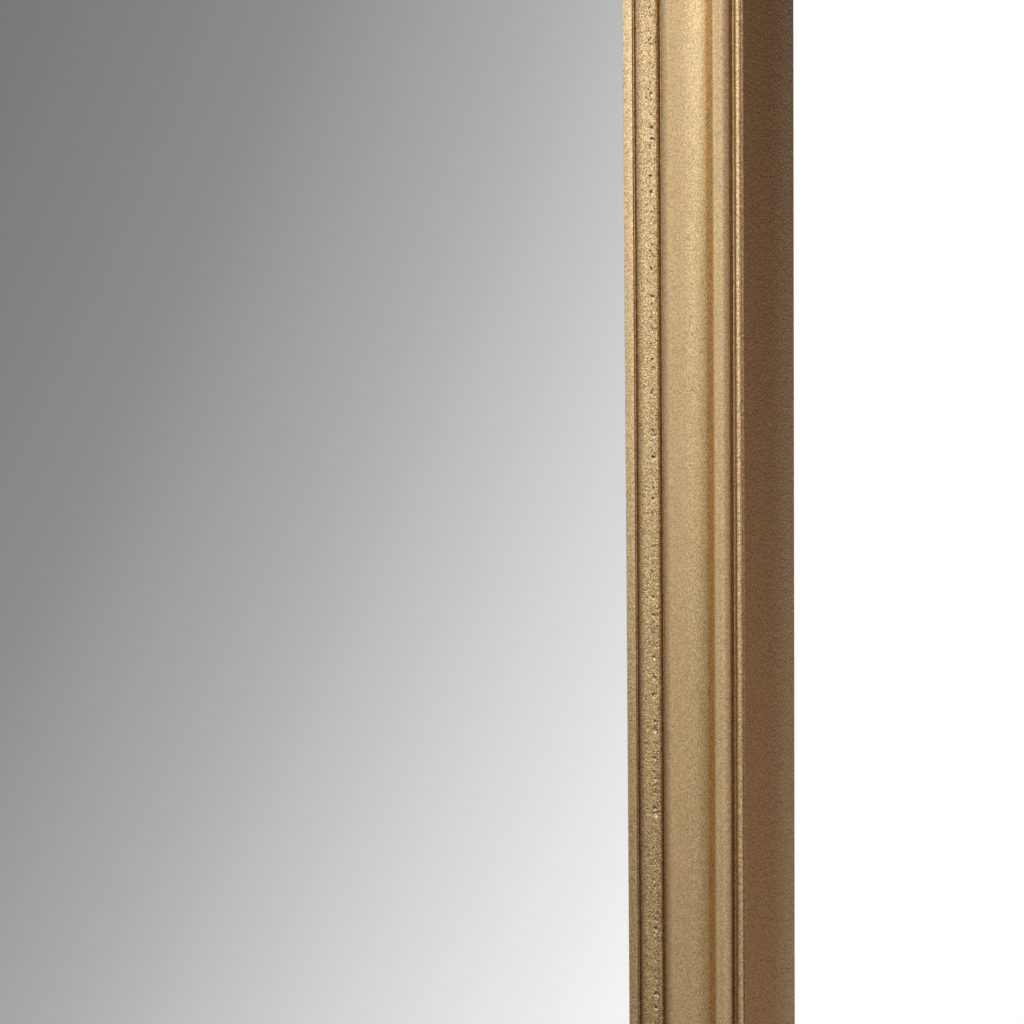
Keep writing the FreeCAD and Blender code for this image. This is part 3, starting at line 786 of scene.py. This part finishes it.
def makeRails():
    tree = sweptRailTree()
    outline = mouldingOutline(moulding)
    gilded, bare = gildedFinish(), rawTimber()
    rails = [
        ("right_stile", halfSightTall, halfSightWide),
        ("top_rail", halfSightWide, halfSightTall),
        ("left_stile", halfSightTall, halfSightWide),
        ("bottom_rail", halfSightWide, halfSightTall),
    ]
    for quarter, (node, halfRun, halfAcross) in enumerate(rails):
        values = {
            "Half Run": halfRun,
            "Half Across": halfAcross,
            "Quarter Turn": float(quarter),
            "Stations": int(2 * (halfRun + railWidth) / (moulding["stationPitch"] * mm)),
            "Waviness": moulding["waviness"] * mm * 2,  # the noise swings by half to each side
            "Rabbet Width": moulding["rabbetWidth"] * mm,
            "Gilded": gilded,
            "Timber": bare,
            "Seed": quarter * moulding["seedStep"],
        }
        mesh = growMesh(node, tree, values, profileMesh(outline))
        addPiece("gilded_" + node, finishMesh(mesh, moulding["sharpFrom"]), "gold_moulding", node)
    print("rails swept,", len(outline), "profile points")


# glass, silver, card and board: all but the silver keep their solids

glazing = {
    "tints": [(0.985, 0.995, 0.990), (0.992, 0.998, 0.995)],
    "wisp": 160.0,  # width of the change between them
    "index": 1.52,
}


def clearGlass():
    material, graph, surface = startMaterial("clearGlass")
    wisp = noise(graph, objectPlace(graph), glazing["wisp"])
    graph.fill(surface, {
        "Base Color": wisp.blend(*glazing["tints"]),
        "Roughness": 0.0,
        "IOR": glazing["index"],
        "Transmission Weight": 1.0,
    })
    return material


silvering = {
    "tints": [(0.965, 0.970, 0.968), (0.980, 0.982, 0.980)],
    "bloom": 220.0,  # width of the change between them
    "wet": 0.03,  # the coat reaches this far into the glass, so nothing lies between them
}


def silverPaint():
    material, graph, surface = startMaterial("silverPaint")
    bloom = noise(graph, objectPlace(graph), silvering["bloom"])
    tone = bloom.blend(*silvering["tints"])
    graph.fill(surface, {"Base Color": tone, "Metallic": 1.0, "Roughness": 0.0})
    return material


card = {
    "tints": [(0.40, 0.37, 0.32), (0.52, 0.49, 0.43)],
    "pulp": 1.6,
    "fleckTint": (0.25, 0.22, 0.18),
    "fleck": 0.8,
    "fleckEdge": (0.62, 0.70),
    "fleckShare": 0.4,
    "roughness": 0.9,
    "relief": 0.08,
}


def greyCard():
    material, graph, surface = startMaterial("greyCard")
    where = objectPlace(graph)
    pulp = noise(graph, where, card["pulp"], detail=5.0, rough=0.7)
    fleck = noise(graph, where, card["fleck"], detail=1.0).rise(*card["fleckEdge"])
    tone = (fleck * card["fleckShare"]).blend(pulp.blend(*card["tints"]), card["fleckTint"])
    graph.fill(surface, {"Base Color": tone, "Roughness": card["roughness"]})
    relief(graph, surface, pulp, card["relief"])
    return material


hardboard = {
    "dark": (0.235, 0.130, 0.066),
    "light": (0.360, 0.215, 0.115),
    "toneEdge": (0.3, 0.75),
    "fibre": 1.1,  # width of a fibre
    "fibreScale": 0.35,  # its width as a share of its length
    "patch": 60.0,
    "fibreTone": 0.4,
    "patchTone": 0.35,
    "darken": 0.08,
    "roughness": 0.62,
    "patchRough": 0.2,
    "screenPitch": 1.5,  # wire screen pressed into the rough face
    "screenHigh": 0.35,
    "fibreHigh": 0.6,
    "relief": 0.14,
}


def pressedBoard():
    material, graph, surface = startMaterial("pressedBoard")
    where = objectPlace(graph)
    fibres = []
    for scale in ((1.0, 1.0, hardboard["fibreScale"]), (hardboard["fibreScale"], 1.0, 1.0)):
        laid = stretch(graph, where, scale)
        fibres.append(noise(graph, laid, hardboard["fibre"], detail=5.0, rough=0.7))
    upright, level = fibres
    patch = noise(graph, where, hardboard["patch"], detail=3.0)
    shade = upright * hardboard["fibreTone"] + level * hardboard["fibreTone"]
    shade = shade + patch * hardboard["patchTone"] - hardboard["darken"]
    graph.fill(surface, {
        "Base Color": shade.rise(*hardboard["toneEdge"]).blend(hardboard["dark"], hardboard["light"]),
        "Roughness": hardboard["roughness"] + patch * hardboard["patchRough"],
    })
    turn = 2 * math.pi / (hardboard["screenPitch"] * mm)
    screen = graph.calc("SINE", where.axis("X") * turn) * graph.calc("SINE", where.axis("Z") * turn)
    felted = upright * hardboard["fibreHigh"] + level * hardboard["fibreHigh"]
    relief(graph, surface, screen * hardboard["screenHigh"] + felted, hardboard["relief"])
    return material


def dressSheets():
    sheets = {
        "mirror_glass": clearGlass(),
        "cardboard_liner": greyCard(),
        "backing_board": pressedBoard(),
    }
    for node, paint in sheets.items():
        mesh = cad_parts[node].data
        mesh.materials.clear()
        mesh.materials.append(paint)
    low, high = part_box("silver_coat")
    wet = Vector((0, silvering["wet"] * mm, 0))
    coat = bmesh.new()
    bmesh.ops.create_cube(coat, size=1.0)
    bmesh.ops.scale(coat, verts=coat.verts, vec=high - low + wet)
    bmesh.ops.translate(coat, verts=coat.verts, vec=(low + high) / 2 - wet / 2)
    mesh = meshFrom(coat, "coat")
    mesh.materials.append(silverPaint())
    addPiece("silver_film", mesh, "silvering", "silver_coat")
    print("sheets dressed")


# points that hold the backing board in

point = {
    "width": 8.0,
    "reach": 7.0,  # over the board
    "bite": 6.0,  # into the rail
    "tip": 3.0,  # length of the sharpened end
    "tipHalf": 0.04,
    "shoulder": 1.5,  # the free end narrows over this length
    "freeShare": 0.8,  # to this share of the width
    "lift": 0.5,  # the free end is sprung off the board by this much
    "edge": 0.08,
    "stileCount": 5,
    "railCount": 3,
    "light": (0.33, 0.34, 0.36),
    "dark": (0.20, 0.205, 0.22),
    "patch": 2.5,
    "roughness": 0.42,
    "drawnAlong": (1.0, 1.0, 0.1),
}


def pointMesh():
    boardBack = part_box("backing_board")[1].y
    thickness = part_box("retaining_points")[1].y - boardBack
    half = point["width"] / 2 * mm
    stations = [  # place towards the rail, and half the width there
        (-point["reach"], half * point["freeShare"]),
        (-point["reach"] + point["shoulder"], half),
        (0.0, half),
        (point["bite"] - point["tip"], half),
        (point["bite"], point["tipHalf"] * mm),
    ]
    verts = []
    for station, wide in stations:
        spring = max(0.0, -station / point["reach"]) ** 2 * point["lift"] * mm
        for side in (-1, 1):
            verts.append((station * mm, boardBack + spring, side * wide))
    mesh = newMesh("point", verts, gridFaces(len(stations), 2, False))
    return thickenMesh(mesh, thickness, point["edge"] * mm, (0, 1, 0))


def boardPointTree():
    tree, graph, values = startTree("boardPoints", [
        ("Geometry", "Geometry"), ("Half Wide", "Float"), ("Half Tall", "Float"),
        ("Rabbet Width", "Float"), ("Stile Count", "Int"), ("Rail Count", "Int"), ("Steel", "Material"),
    ])
    stile = ("Half Tall", "Half Wide", "Stile Count")
    rail = ("Half Wide", "Half Tall", "Rail Count")
    rows = []
    for quarter, names in enumerate((stile, rail, stile, rail)):
        halfRun, halfAcross, count = (values[name] for name in names)
        pitch = graph.calc("DIVIDE", halfRun * 2, count)
        start = graph.vector(x=halfAcross + values["Rabbet Width"], z=(count - 1) * pitch * -0.5)
        row = copiesInLine(graph, values["Geometry"], count, start, graph.vector(z=pitch))
        turn = {"Geometry": row, "Rotation": quarterTurns(quarter)}
        rows.append(graph.make("GeometryNodeTransform", None, turn))
    return endTree(tree, graph, rows, values["Steel"])


def makePoints():
    values = {
        "Half Wide": halfSightWide,
        "Half Tall": halfSightTall,
        "Rabbet Width": moulding["rabbetWidth"] * mm,
        "Stile Count": point["stileCount"],
        "Rail Count": point["railCount"],
        "Steel": steel("bluedSteel", point),
    }
    mesh = growMesh("points", boardPointTree(), values, pointMesh())
    addPiece("board_points", finishMesh(mesh), "point_steel", "retaining_points")
    print("board points set")


# nails across the mitres

nail = {
    "count": 2,  # across each mitre
    "thickness": 0.6,
    "wing": 10.0,
    "depth": 9.0,
    "margin": 11.0,  # from the rabbet and from the outer edge
    "proud": 0.12,  # of the back
    "edge": 0.07,
    "light": (0.60, 0.60, 0.59),
    "dark": (0.42, 0.42, 0.41),
    "patch": 3.0,
    "roughness": 0.38,
    "drawnAlong": (1.0, 1.0, 1.0),
}


def nailMesh():  # an angle of sheet steel, its corner at the origin
    wing = nail["wing"] * mm
    thick = nail["thickness"] * mm
    top = backFace + nail["proud"] * mm
    foot = backFace - nail["depth"] * mm
    outline = [(0, 0), (0, -wing), (-thick, -wing), (-thick, -thick), (-wing, -thick), (-wing, 0)]
    shell = bmesh.new()
    shell.faces.new([shell.verts.new((x, top, z)) for x, z in outline])
    block = bmesh.ops.extrude_face_region(shell, geom=list(shell.faces))
    moved = [item for item in block["geom"] if isinstance(item, bmesh.types.BMVert)]
    bmesh.ops.translate(shell, verts=moved, vec=(0, foot - top, 0))
    bmesh.ops.recalc_face_normals(shell, faces=shell.faces)
    edges = list(shell.edges)
    bmesh.ops.bevel(shell, geom=edges, offset=nail["edge"] * mm, segments=1, affect="EDGES")
    return meshFrom(shell, "nail")


def mitreNailTree():
    tree, graph, values = startTree("mitreNails", [
        ("Geometry", "Geometry"), ("Half Wide", "Float"), ("Half Tall", "Float"), ("Inner", "Float"),
        ("Outer", "Float"), ("Steel", "Material"),
    ])
    rows = []
    shape, count = values["Geometry"], nail["count"]
    pitch = (values["Outer"] - values["Inner"]) * (1 / (count - 1))
    corners = ((1, 1), (-1, 1), (-1, -1), (1, -1))
    for quarter, (sideways, upwards) in enumerate(corners):
        x = (values["Half Wide"] + values["Inner"]) * sideways
        z = (values["Half Tall"] + values["Inner"]) * upwards
        step = graph.vector(x=pitch * sideways, z=pitch * upwards)
        turn = quarterTurns(quarter)
        rows.append(copiesInLine(graph, shape, count, graph.vector(x=x, z=z), step, turn))
    return endTree(tree, graph, rows, values["Steel"])


def makeNails():
    values = {
        "Half Wide": halfSightWide,
        "Half Tall": halfSightTall,
        "Inner": (moulding["rabbetWidth"] + nail["margin"]) * mm,
        "Outer": railWidth - nail["margin"] * mm,
        "Steel": steel("stripSteel", nail),
    }
    mesh = growMesh("nails", mitreNailTree(), values, nailMesh())
    addPiece("mitre_nails", finishMesh(mesh), "nail_steel", "corner_nails")
    print("mitre nails set")


# ring hangers

hanger = {
    "strapThickness": 1.0,
    "tailTip": 0.35,  # half the width of the tail's end
    "tailRows": 14,
    "flatRows": 6,
    "eyeInner": 1.55,
    "eyeRoll": 270.0,  # degrees
    "eyeRows": 28,
    "columns": 10,
    "edge": 0.22,
    "wire": 1.25,
    "wireSteps": 8,  # bevel resolution of the wire's round
    "ringCorner": 2.5,
    "cornerSteps": 8,
    "ringArm": 3.0,
    "ringHalf": 10.5,
    "bowSteps": 40,
    "sharpFrom": 60.0,  # degrees
    "light": (0.66, 0.63, 0.55),
    "dark": (0.50, 0.47, 0.40),
    "patch": 4.0,
    "roughness": 0.30,
    "drawnAlong": (0.15, 1.0, 1.0),
}


def strapMesh(node):
    low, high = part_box(node)
    half = (high.x - low.x) / 2
    middle = (high.x + low.x) / 2
    thick = hanger["strapThickness"] * mm
    radius = hanger["eyeInner"] * mm
    face = backFace + thick
    axisY = face + radius
    axisZ = high.z - thick - radius
    rows = []
    for step in range(hanger["tailRows"] + 1):  # the rounded tail
        angle = math.pi / 2 * step / hanger["tailRows"]
        width = max(half * math.sin(angle), hanger["tailTip"] * mm)
        rows.append((face, low.z + half * (1 - math.cos(angle)), width))
    flatFoot = low.z + half
    for step in range(1, hanger["flatRows"] + 1):
        rows.append((face, flatFoot + (axisZ - flatFoot) * step / hanger["flatRows"], half))
    for step in range(1, hanger["eyeRows"] + 1):  # rolled three quarters round the wire
        angle = math.pi - math.radians(hanger["eyeRoll"]) * step / hanger["eyeRows"]
        rows.append((axisY + radius * math.cos(angle), axisZ + radius * math.sin(angle), half))
    verts = []
    columns = hanger["columns"]
    for y, z, width in rows:
        for column in range(columns + 1):
            verts.append((middle + width * (2 * column / columns - 1), y, z))
    mesh = newMesh("strap", verts, gridFaces(len(rows), columns + 1, False))
    return thickenMesh(mesh, thick, hanger["edge"] * mm, (0, -1, 0))


def ringMesh(node):
    low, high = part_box(node)
    middle = (low.x + high.x) / 2
    axisY = (low.y + high.y) / 2
    top = high.z - hanger["wire"] * mm
    half, corner, arm = hanger["ringHalf"], hanger["ringCorner"], hanger["ringArm"]
    outline = arcPoints((half - corner, -corner), corner, 90, 0, hanger["cornerSteps"])
    outline += arcPoints((0, -arm), half, 0, -180, hanger["bowSteps"])
    outline += arcPoints((corner - half, -corner), corner, 180, 90, hanger["cornerSteps"])
    curve = bpy.data.curves.new("ring", "CURVE")
    curve.dimensions = "3D"
    curve.bevel_depth = hanger["wire"] * mm
    curve.bevel_resolution = hanger["wireSteps"]
    spline = curve.splines.new("POLY")
    spline.points.add(len(outline) - 1)
    for knot, (x, z) in zip(spline.points, outline):
        knot.co = (middle + x * mm, axisY, top + z * mm, 1.0)
    spline.use_cyclic_u = True
    return finishMesh(takeMesh(standIn("ring", curve)), hanger["sharpFrom"])


def makeHangers():
    plated = steel("zincPlate", hanger)
    for side in ("left", "right"):
        strapNode, ringNode = side + "_hanger_strap", side + "_hanger_ring"
        strap = addPiece(side + "_rolled_strap", strapMesh(strapNode), "plated_steel", strapNode)
        ring = addPiece(side + "_wire_ring", ringMesh(ringNode), "plated_steel", ringNode,
                        body=side + "_ring")
        for piece in (strap, ring):
            piece.data.materials.clear()
            piece.data.materials.append(plated)
    print("hangers bent")


# pan-head screws

screw = {
    "radius": 1.75,
    "core": 1.25,
    "length": 16.0,
    "tip": 3.0,
    "tipPast": 0.2,
    "tipRadius": 0.05,
    "threadPitch": 1.3,
    "crest": 4,  # threads take up 2 / crest of the pitch
    "neck": (3.0, 1.5),  # the thread runs out between these depths
    "threadRows": 60,
    "headRadius": 3.5,
    "headHeight": 2.2,
    "headEdge": 0.8,
    "headRim": [(2.4, 0.0), (3.3, 0.0), (3.5, 0.15), (3.5, 0.6)],  # radius and height below the dome
    "domeFit": 0.988,  # share of the head's radius at which the dome starts
    "domeRows": 31,
    "armHalf": 0.52,
    "armSoft": 0.08,
    "armLength": 1.9,
    "armRamp": 0.5,
    "recess": 1.3,
    "count": 2,  # in each strap
    "pitch": 14.0,
    "turns": {"Left": 0.5, "Right": 1.2},  # radians, as they were left by the driver
    "sides": 48,
    "light": (0.62, 0.58, 0.48),
    "dark": (0.44, 0.41, 0.33),
    "patch": 2.0,
    "roughness": 0.30,
    "drawnAlong": (1.0, 1.0, 1.0),
}


def ease(value, low, high):
    share = min(1.0, max(0.0, (value - low) / (high - low)))
    return share * share * (3 - 2 * share)


def crossDepth(x, y):  # depth of the driver recess below the dome
    near, far = sorted((abs(x), abs(y)))
    inArm = 1 - ease(near, screw["armHalf"] - screw["armSoft"], screw["armHalf"] + screw["armSoft"])
    inArm *= 1 - ease(far, screw["armLength"] - screw["armRamp"], screw["armLength"])
    return screw["recess"] * inArm


def domeHeight(radius):
    rise = screw["headHeight"] - screw["headEdge"]
    ball = (screw["headRadius"] ** 2 + rise ** 2) / (2 * rise)
    return screw["headHeight"] - ball + math.sqrt(ball ** 2 - radius ** 2)


def threadRadius(height, angle):  # a thread that runs out at the tip and below the head
    turn = (height / screw["threadPitch"] + angle / (2 * math.pi)) % 1.0
    crest = max(0.0, 1 - abs(turn - 0.5) * screw["crest"])
    taper = ease(height, -screw["length"] - screw["tipPast"], -screw["length"] + screw["tip"])
    start, end = screw["neck"]
    depth = (screw["radius"] - screw["core"]) * crest * (1 - ease(height, -start, -end))
    return max(screw["tipRadius"], (screw["core"] + depth) * taper)


def screwMesh():  # the head's seat is at the origin, the head points to +Y
    sides = screw["sides"]
    angles = circleAngles(sides)
    rings = []
    for step in range(screw["threadRows"] + 1):
        height = -screw["length"] * (1 - step / screw["threadRows"])
        rings.append([(threadRadius(height, angle), height) for angle in angles])
    for rim in screw["headRim"]:
        rings.append([rim] * sides)
    for step in range(screw["domeRows"]):
        radius = screw["headRadius"] * screw["domeFit"] * (1 - step / screw["domeRows"])
        ring = []
        for angle in angles:
            sunk = crossDepth(radius * math.cos(angle), radius * math.sin(angle))
            ring.append((radius, domeHeight(radius) - sunk))
        rings.append(ring)
    verts = []
    for ring in rings:
        for (radius, height), angle in zip(ring, angles):
            verts.append((radius * math.cos(angle) * mm, height * mm, radius * math.sin(angle) * mm))
    faces = gridFaces(len(rings), sides, True)
    faces.append(tuple(range(sides)))
    faces.append(tuple(range(len(verts) - sides, len(verts))))
    return newMesh("screw", verts, faces)


def strapScrewTree():
    tree, graph, values = startTree("strapScrews", [
        ("Geometry", "Geometry"), ("Left", "Vector"), ("Right", "Vector"), ("Pitch", "Float"),
        ("Steel", "Material"),
    ])
    shape, count = values["Geometry"], screw["count"]
    step = graph.vector(z=values["Pitch"] * -1)
    rows = []
    for side, turn in screw["turns"].items():
        rows.append(copiesInLine(graph, shape, count, values[side], step, (0.0, turn, 0.0)))
    return endTree(tree, graph, rows, values["Steel"])


def makeScrews():
    low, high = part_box("hanger_screws")
    seat = backFace + hanger["strapThickness"] * mm
    radius = screw["headRadius"] * mm
    values = {
        "Left": (low.x + radius, seat, high.z - radius),
        "Right": (high.x - radius, seat, high.z - radius),
        "Pitch": screw["pitch"] * mm,
        "Steel": steel("screwSteel", screw),
    }
    mesh = growMesh("screws", strapScrewTree(), values, screwMesh())
    addPiece("strap_screws", finishMesh(mesh), "screw_steel", "hanger_screws")
    print("screws driven")


# rubber bumpers

bumper = {
    "footRound": 0.4,
    "rimRound": 1.1,
    "taper": 1.0,
    "dish": 0.35,
    "dishShape": [(0.55, 0.0), (0.40, 0.6), (0.20, 1.0)],  # shares of the radius and of the dish
    "pole": 0.02,
    "sides": 64,
    "rubber": (0.028, 0.027, 0.026),
    "dusty": (0.075, 0.072, 0.068),
    "dust": 3.5,
    "dustEdge": (0.45, 0.8),
    "grain": 0.35,
    "roughness": 0.55,
    "grainRough": 0.2,
    "relief": 0.03,
}


def bumperRubber():
    material, graph, surface = startMaterial("bumperRubber")
    where = objectPlace(graph)
    dust = noise(graph, where, bumper["dust"], detail=4.0, rough=0.65)
    grain = noise(graph, where, bumper["grain"])
    graph.fill(surface, {
        "Base Color": dust.rise(*bumper["dustEdge"]).blend(bumper["rubber"], bumper["dusty"]),
        "Roughness": bumper["roughness"] + grain * bumper["grainRough"],
    })
    relief(graph, surface, grain, bumper["relief"])
    return material


def makeBumpers():
    rubber = bumperRubber()
    for side in ("left", "right"):
        node = side + "_bumper"
        low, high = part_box(node)
        radius = (high.x - low.x) / 2 / mm
        tall = (high.y - low.y) / mm
        corners = [
            (bumper["pole"], 0.0),
            (radius, 0.0, bumper["footRound"]),
            (radius - bumper["taper"], tall, bumper["rimRound"]),
        ]
        for share, depth in bumper["dishShape"]:
            corners.append((radius * share, tall - bumper["dish"] * depth))
        corners.append((bumper["pole"], tall - bumper["dish"]))
        place = ((low.x + high.x) / 2, low.y, (low.z + high.z) / 2)
        mesh = lathe(softOutline(corners), bumper["sides"], place, (0, 1, 0))
        piece = addPiece(side + "_rubber_bumper", finishMesh(mesh), "bumper_rubber", node)
        piece.data.materials.append(rubber)
    print("bumpers set")


# studio

camera = {
    "azimuth": 36.34,  # degrees to the mirror's right
    "elevation": 8.99,
    "roll": -0.591,
    "distance": 1.5785,  # metres
    "focal": 5000.0,  # in pixels of the 1024 pixel frame
    "aim": (0.2123, -0.0267, 0.0),
    "sensor": 36.0,
    "frame": 1024,
}


def makeCamera():
    across, tilt, roll = (math.radians(camera[name]) for name in ("azimuth", "elevation", "roll"))
    flat = math.cos(tilt)
    back = Vector((math.sin(across) * flat, -math.cos(across) * flat, math.sin(tilt)))
    level = Vector((math.cos(across), math.sin(across), 0.0))
    upright = back.cross(level)
    right = level * math.cos(roll) + upright * math.sin(roll)
    up = upright * math.cos(roll) - level * math.sin(roll)
    lens = bpy.data.cameras.new("camera")
    lens.sensor_width = camera["sensor"]
    lens.lens = camera["focal"] * camera["sensor"] / camera["frame"]
    eye = standIn("camera", lens)
    turn = Matrix((right, up, back)).transposed()
    place = Vector(camera["aim"]) + back * camera["distance"]
    eye.matrix_world = Matrix.Translation(place) @ turn.to_4x4()
    scene.camera = eye


studio = {
    "sweep": (1.0, 0.0, -0.29),  # the way the studio grows lighter in the mirror
    "greys": [  # what the glass shows: place in the sweep from -1 to 1, and its grey
        (-1.0, 0.12),
        (-0.653, 0.185),
        (-0.61, 0.272),
        (-0.568, 0.455),
        (-0.525, 0.720),
        (-0.483, 0.970),
        (-0.455, 0.980),
        (-0.20, 0.80),
        (0.15, 0.50),
        (0.60, 0.72),
        (1.0, 0.55),
    ],
    "room": [  # what the gilding shows of the room: place in the sweep, linear colour
        (-1.0, (0.02, 0.02, 0.02)),
        (-0.75, (0.57, 0.55, 0.49)),
        (-0.55, (0.10, 0.07, 0.05)),
        (-0.36, (0.43, 0.40, 0.34)),
        (-0.05, (0.02, 0.02, 0.02)),
        (0.30, (0.03, 0.02, 0.02)),
        (0.65, (0.46, 0.42, 0.42)),
        (1.0, (0.49, 0.46, 0.46)),
    ],
    "wallLow": (0.60, 0.54, 0.44),
    "wallHigh": (0.03, 0.01, 0.005),
    "wallRise": (-0.35, 0.05),  # heights of view between which the one turns into the other
    "wallFrom": (0.1, 0.8),  # depths of view between which the room turns into the wall
    "ambient": (0.55, 0.55, 0.55),  # what dull faces take from all round
    "backdrop": (1.0, 1.0, 1.0),  # what the camera sees behind the mirror
    "aim": (0.28, -0.03, 0.10),
    "lamps": {  # place, width and height, power, colour
        "side": ((-0.80, -0.15, 0.40), (0.6, 0.6), 2.90, (0.85, 0.92, 1.0)),
        "left": ((-0.75, -0.45, 0.10), (0.6, 0.6), 0.73, (1.0, 1.0, 0.94)),
        "windowHigh": ((-0.55, -0.95, 0.28), (0.7, 0.4), 0.48, (0.80, 0.86, 1.0)),
        "windowLow": ((-0.55, -0.95, 0.05), (0.7, 0.5), 0.34, (0.85, 0.86, 1.0)),
        "room": ((-0.20, -1.40, 0.10), (0.9, 0.5), 1.87, (0.93, 0.94, 1.0)),
        "front": ((0.76, -1.50, 0.10), (1.3, 0.5), 4.60, (0.96, 0.95, 1.0)),
    },
    "floorTint": (0.82, 0.82, 0.82),
    "floorRough": 0.9,
    "floorSides": 96,
    "floorInner": 0.55,  # metres, where the floor starts to fade into the background
    "floorFaded": 0.98,
    "floorOuter": 1.0,
}


def sweepStops(rows):  # a ramp runs from 0 to 1, the sweep from -1 to 1
    return [((place + 1) / 2, colour) for place, colour in rows]


def makeWorld():
    world = bpy.data.worlds.new("studio")
    scene.world = world
    world.use_nodes = True
    graph = Signal(world.node_tree)
    direction = graph.make("ShaderNodeTexCoord", output="Generated")
    dot = {0: direction, 1: studio["sweep"]}
    sweep = graph.make("ShaderNodeVectorMath", {"operation": "DOT_PRODUCT"}, dot, output="Value")
    share = sweep * 0.5 + 0.5
    greys = sweepStops([(place, (grey, grey, grey)) for place, grey in studio["greys"]])
    mirrored = graph.make("ShaderNodeValToRGB", {"stops": greys}, {0: share})
    front = graph.make("ShaderNodeValToRGB", {"stops": sweepStops(studio["room"])}, {0: share})
    wall = direction.axis("Z").rise(*studio["wallRise"]).blend(studio["wallLow"], studio["wallHigh"])
    lit = direction.axis("Y").rise(*studio["wallFrom"]).blend(front, wall)
    names = ("Is Camera Ray", "Is Diffuse Ray", "Is Transmission Ray")
    seen, diffuse, through = (graph.make("ShaderNodeLightPath", output=name) for name in names)
    lit = diffuse.blend(through.blend(lit, mirrored), studio["ambient"])
    background = world.node_tree.nodes["Background"]
    graph.feed(background.inputs["Color"], seen.blend(lit, studio["backdrop"]))


def keepUnlit(*names):  # pieces that the lamps leave alone
    unlit = bpy.data.collections.new("unlit")
    for name in names:
        unlit.objects.link(bpy.data.objects[name])
    for link in unlit.collection_objects:
        link.light_linking.link_state = "EXCLUDE"
    return unlit


def makeLamp(unlit, name, place, size, power, colour):
    lamp = bpy.data.lights.new(name, "AREA")
    lamp.shape = "RECTANGLE"
    lamp.size, lamp.size_y = size
    lamp.energy = power
    lamp.color = colour
    stand = standIn(name, lamp)
    stand.location = place
    aim = Vector(studio["aim"]) - Vector(place)
    stand.rotation_euler = aim.to_track_quat("-Z", "Y").to_euler()
    stand.visible_camera = False
    stand.visible_transmission = False
    stand.light_linking.receiver_collection = unlit


def paleFloor():  # fades into the background
    material, graph, surface = startMaterial("paleFloor")
    tint = opaque(studio["floorTint"])
    graph.fill(surface, {"Base Color": tint, "Roughness": studio["floorRough"]})
    flat = {0: objectPlace(graph), 1: (1.0, 1.0, 0.0)}
    spread = graph.make("ShaderNodeVectorMath", {"operation": "MULTIPLY"}, flat)
    reach = graph.make("ShaderNodeVectorMath", {"operation": "LENGTH"}, {0: spread}, output="Value")
    fade = reach.rise(studio["floorInner"], studio["floorFaded"])
    clear = graph.make("ShaderNodeBsdfTransparent")
    paint = Signal(material.node_tree, surface.outputs[0])
    mixed = graph.make("ShaderNodeMixShader", None, {0: fade, 1: paint, 2: clear})
    graph.feed(material.node_tree.nodes["Material Output"].inputs["Surface"], mixed)
    return material


def makeFloor():
    disc = bmesh.new()
    sides, radius = studio["floorSides"], studio["floorOuter"]
    bmesh.ops.create_circle(disc, cap_ends=True, segments=sides, radius=radius)
    bmesh.ops.translate(disc, verts=disc.verts, vec=(0, 0, cadBox[0].z))
    mesh = meshFrom(disc, "floor")
    mesh.materials.append(paleFloor())
    floor = standIn("floor", mesh)
    floor.visible_glossy = False


def makeStudio():
    makeCamera()
    makeWorld()
    makeFloor()
    unlit = keepUnlit("mirror_glass")
    for name, lamp in studio["lamps"].items():
        makeLamp(unlit, name, *lamp)
    scene.view_settings.view_transform = "Standard"
    print("studio lit")


makeRails()
dressSheets()
makePoints()
makeNails()
makeHangers()
makeScrews()
makeBumpers()
makeStudio()
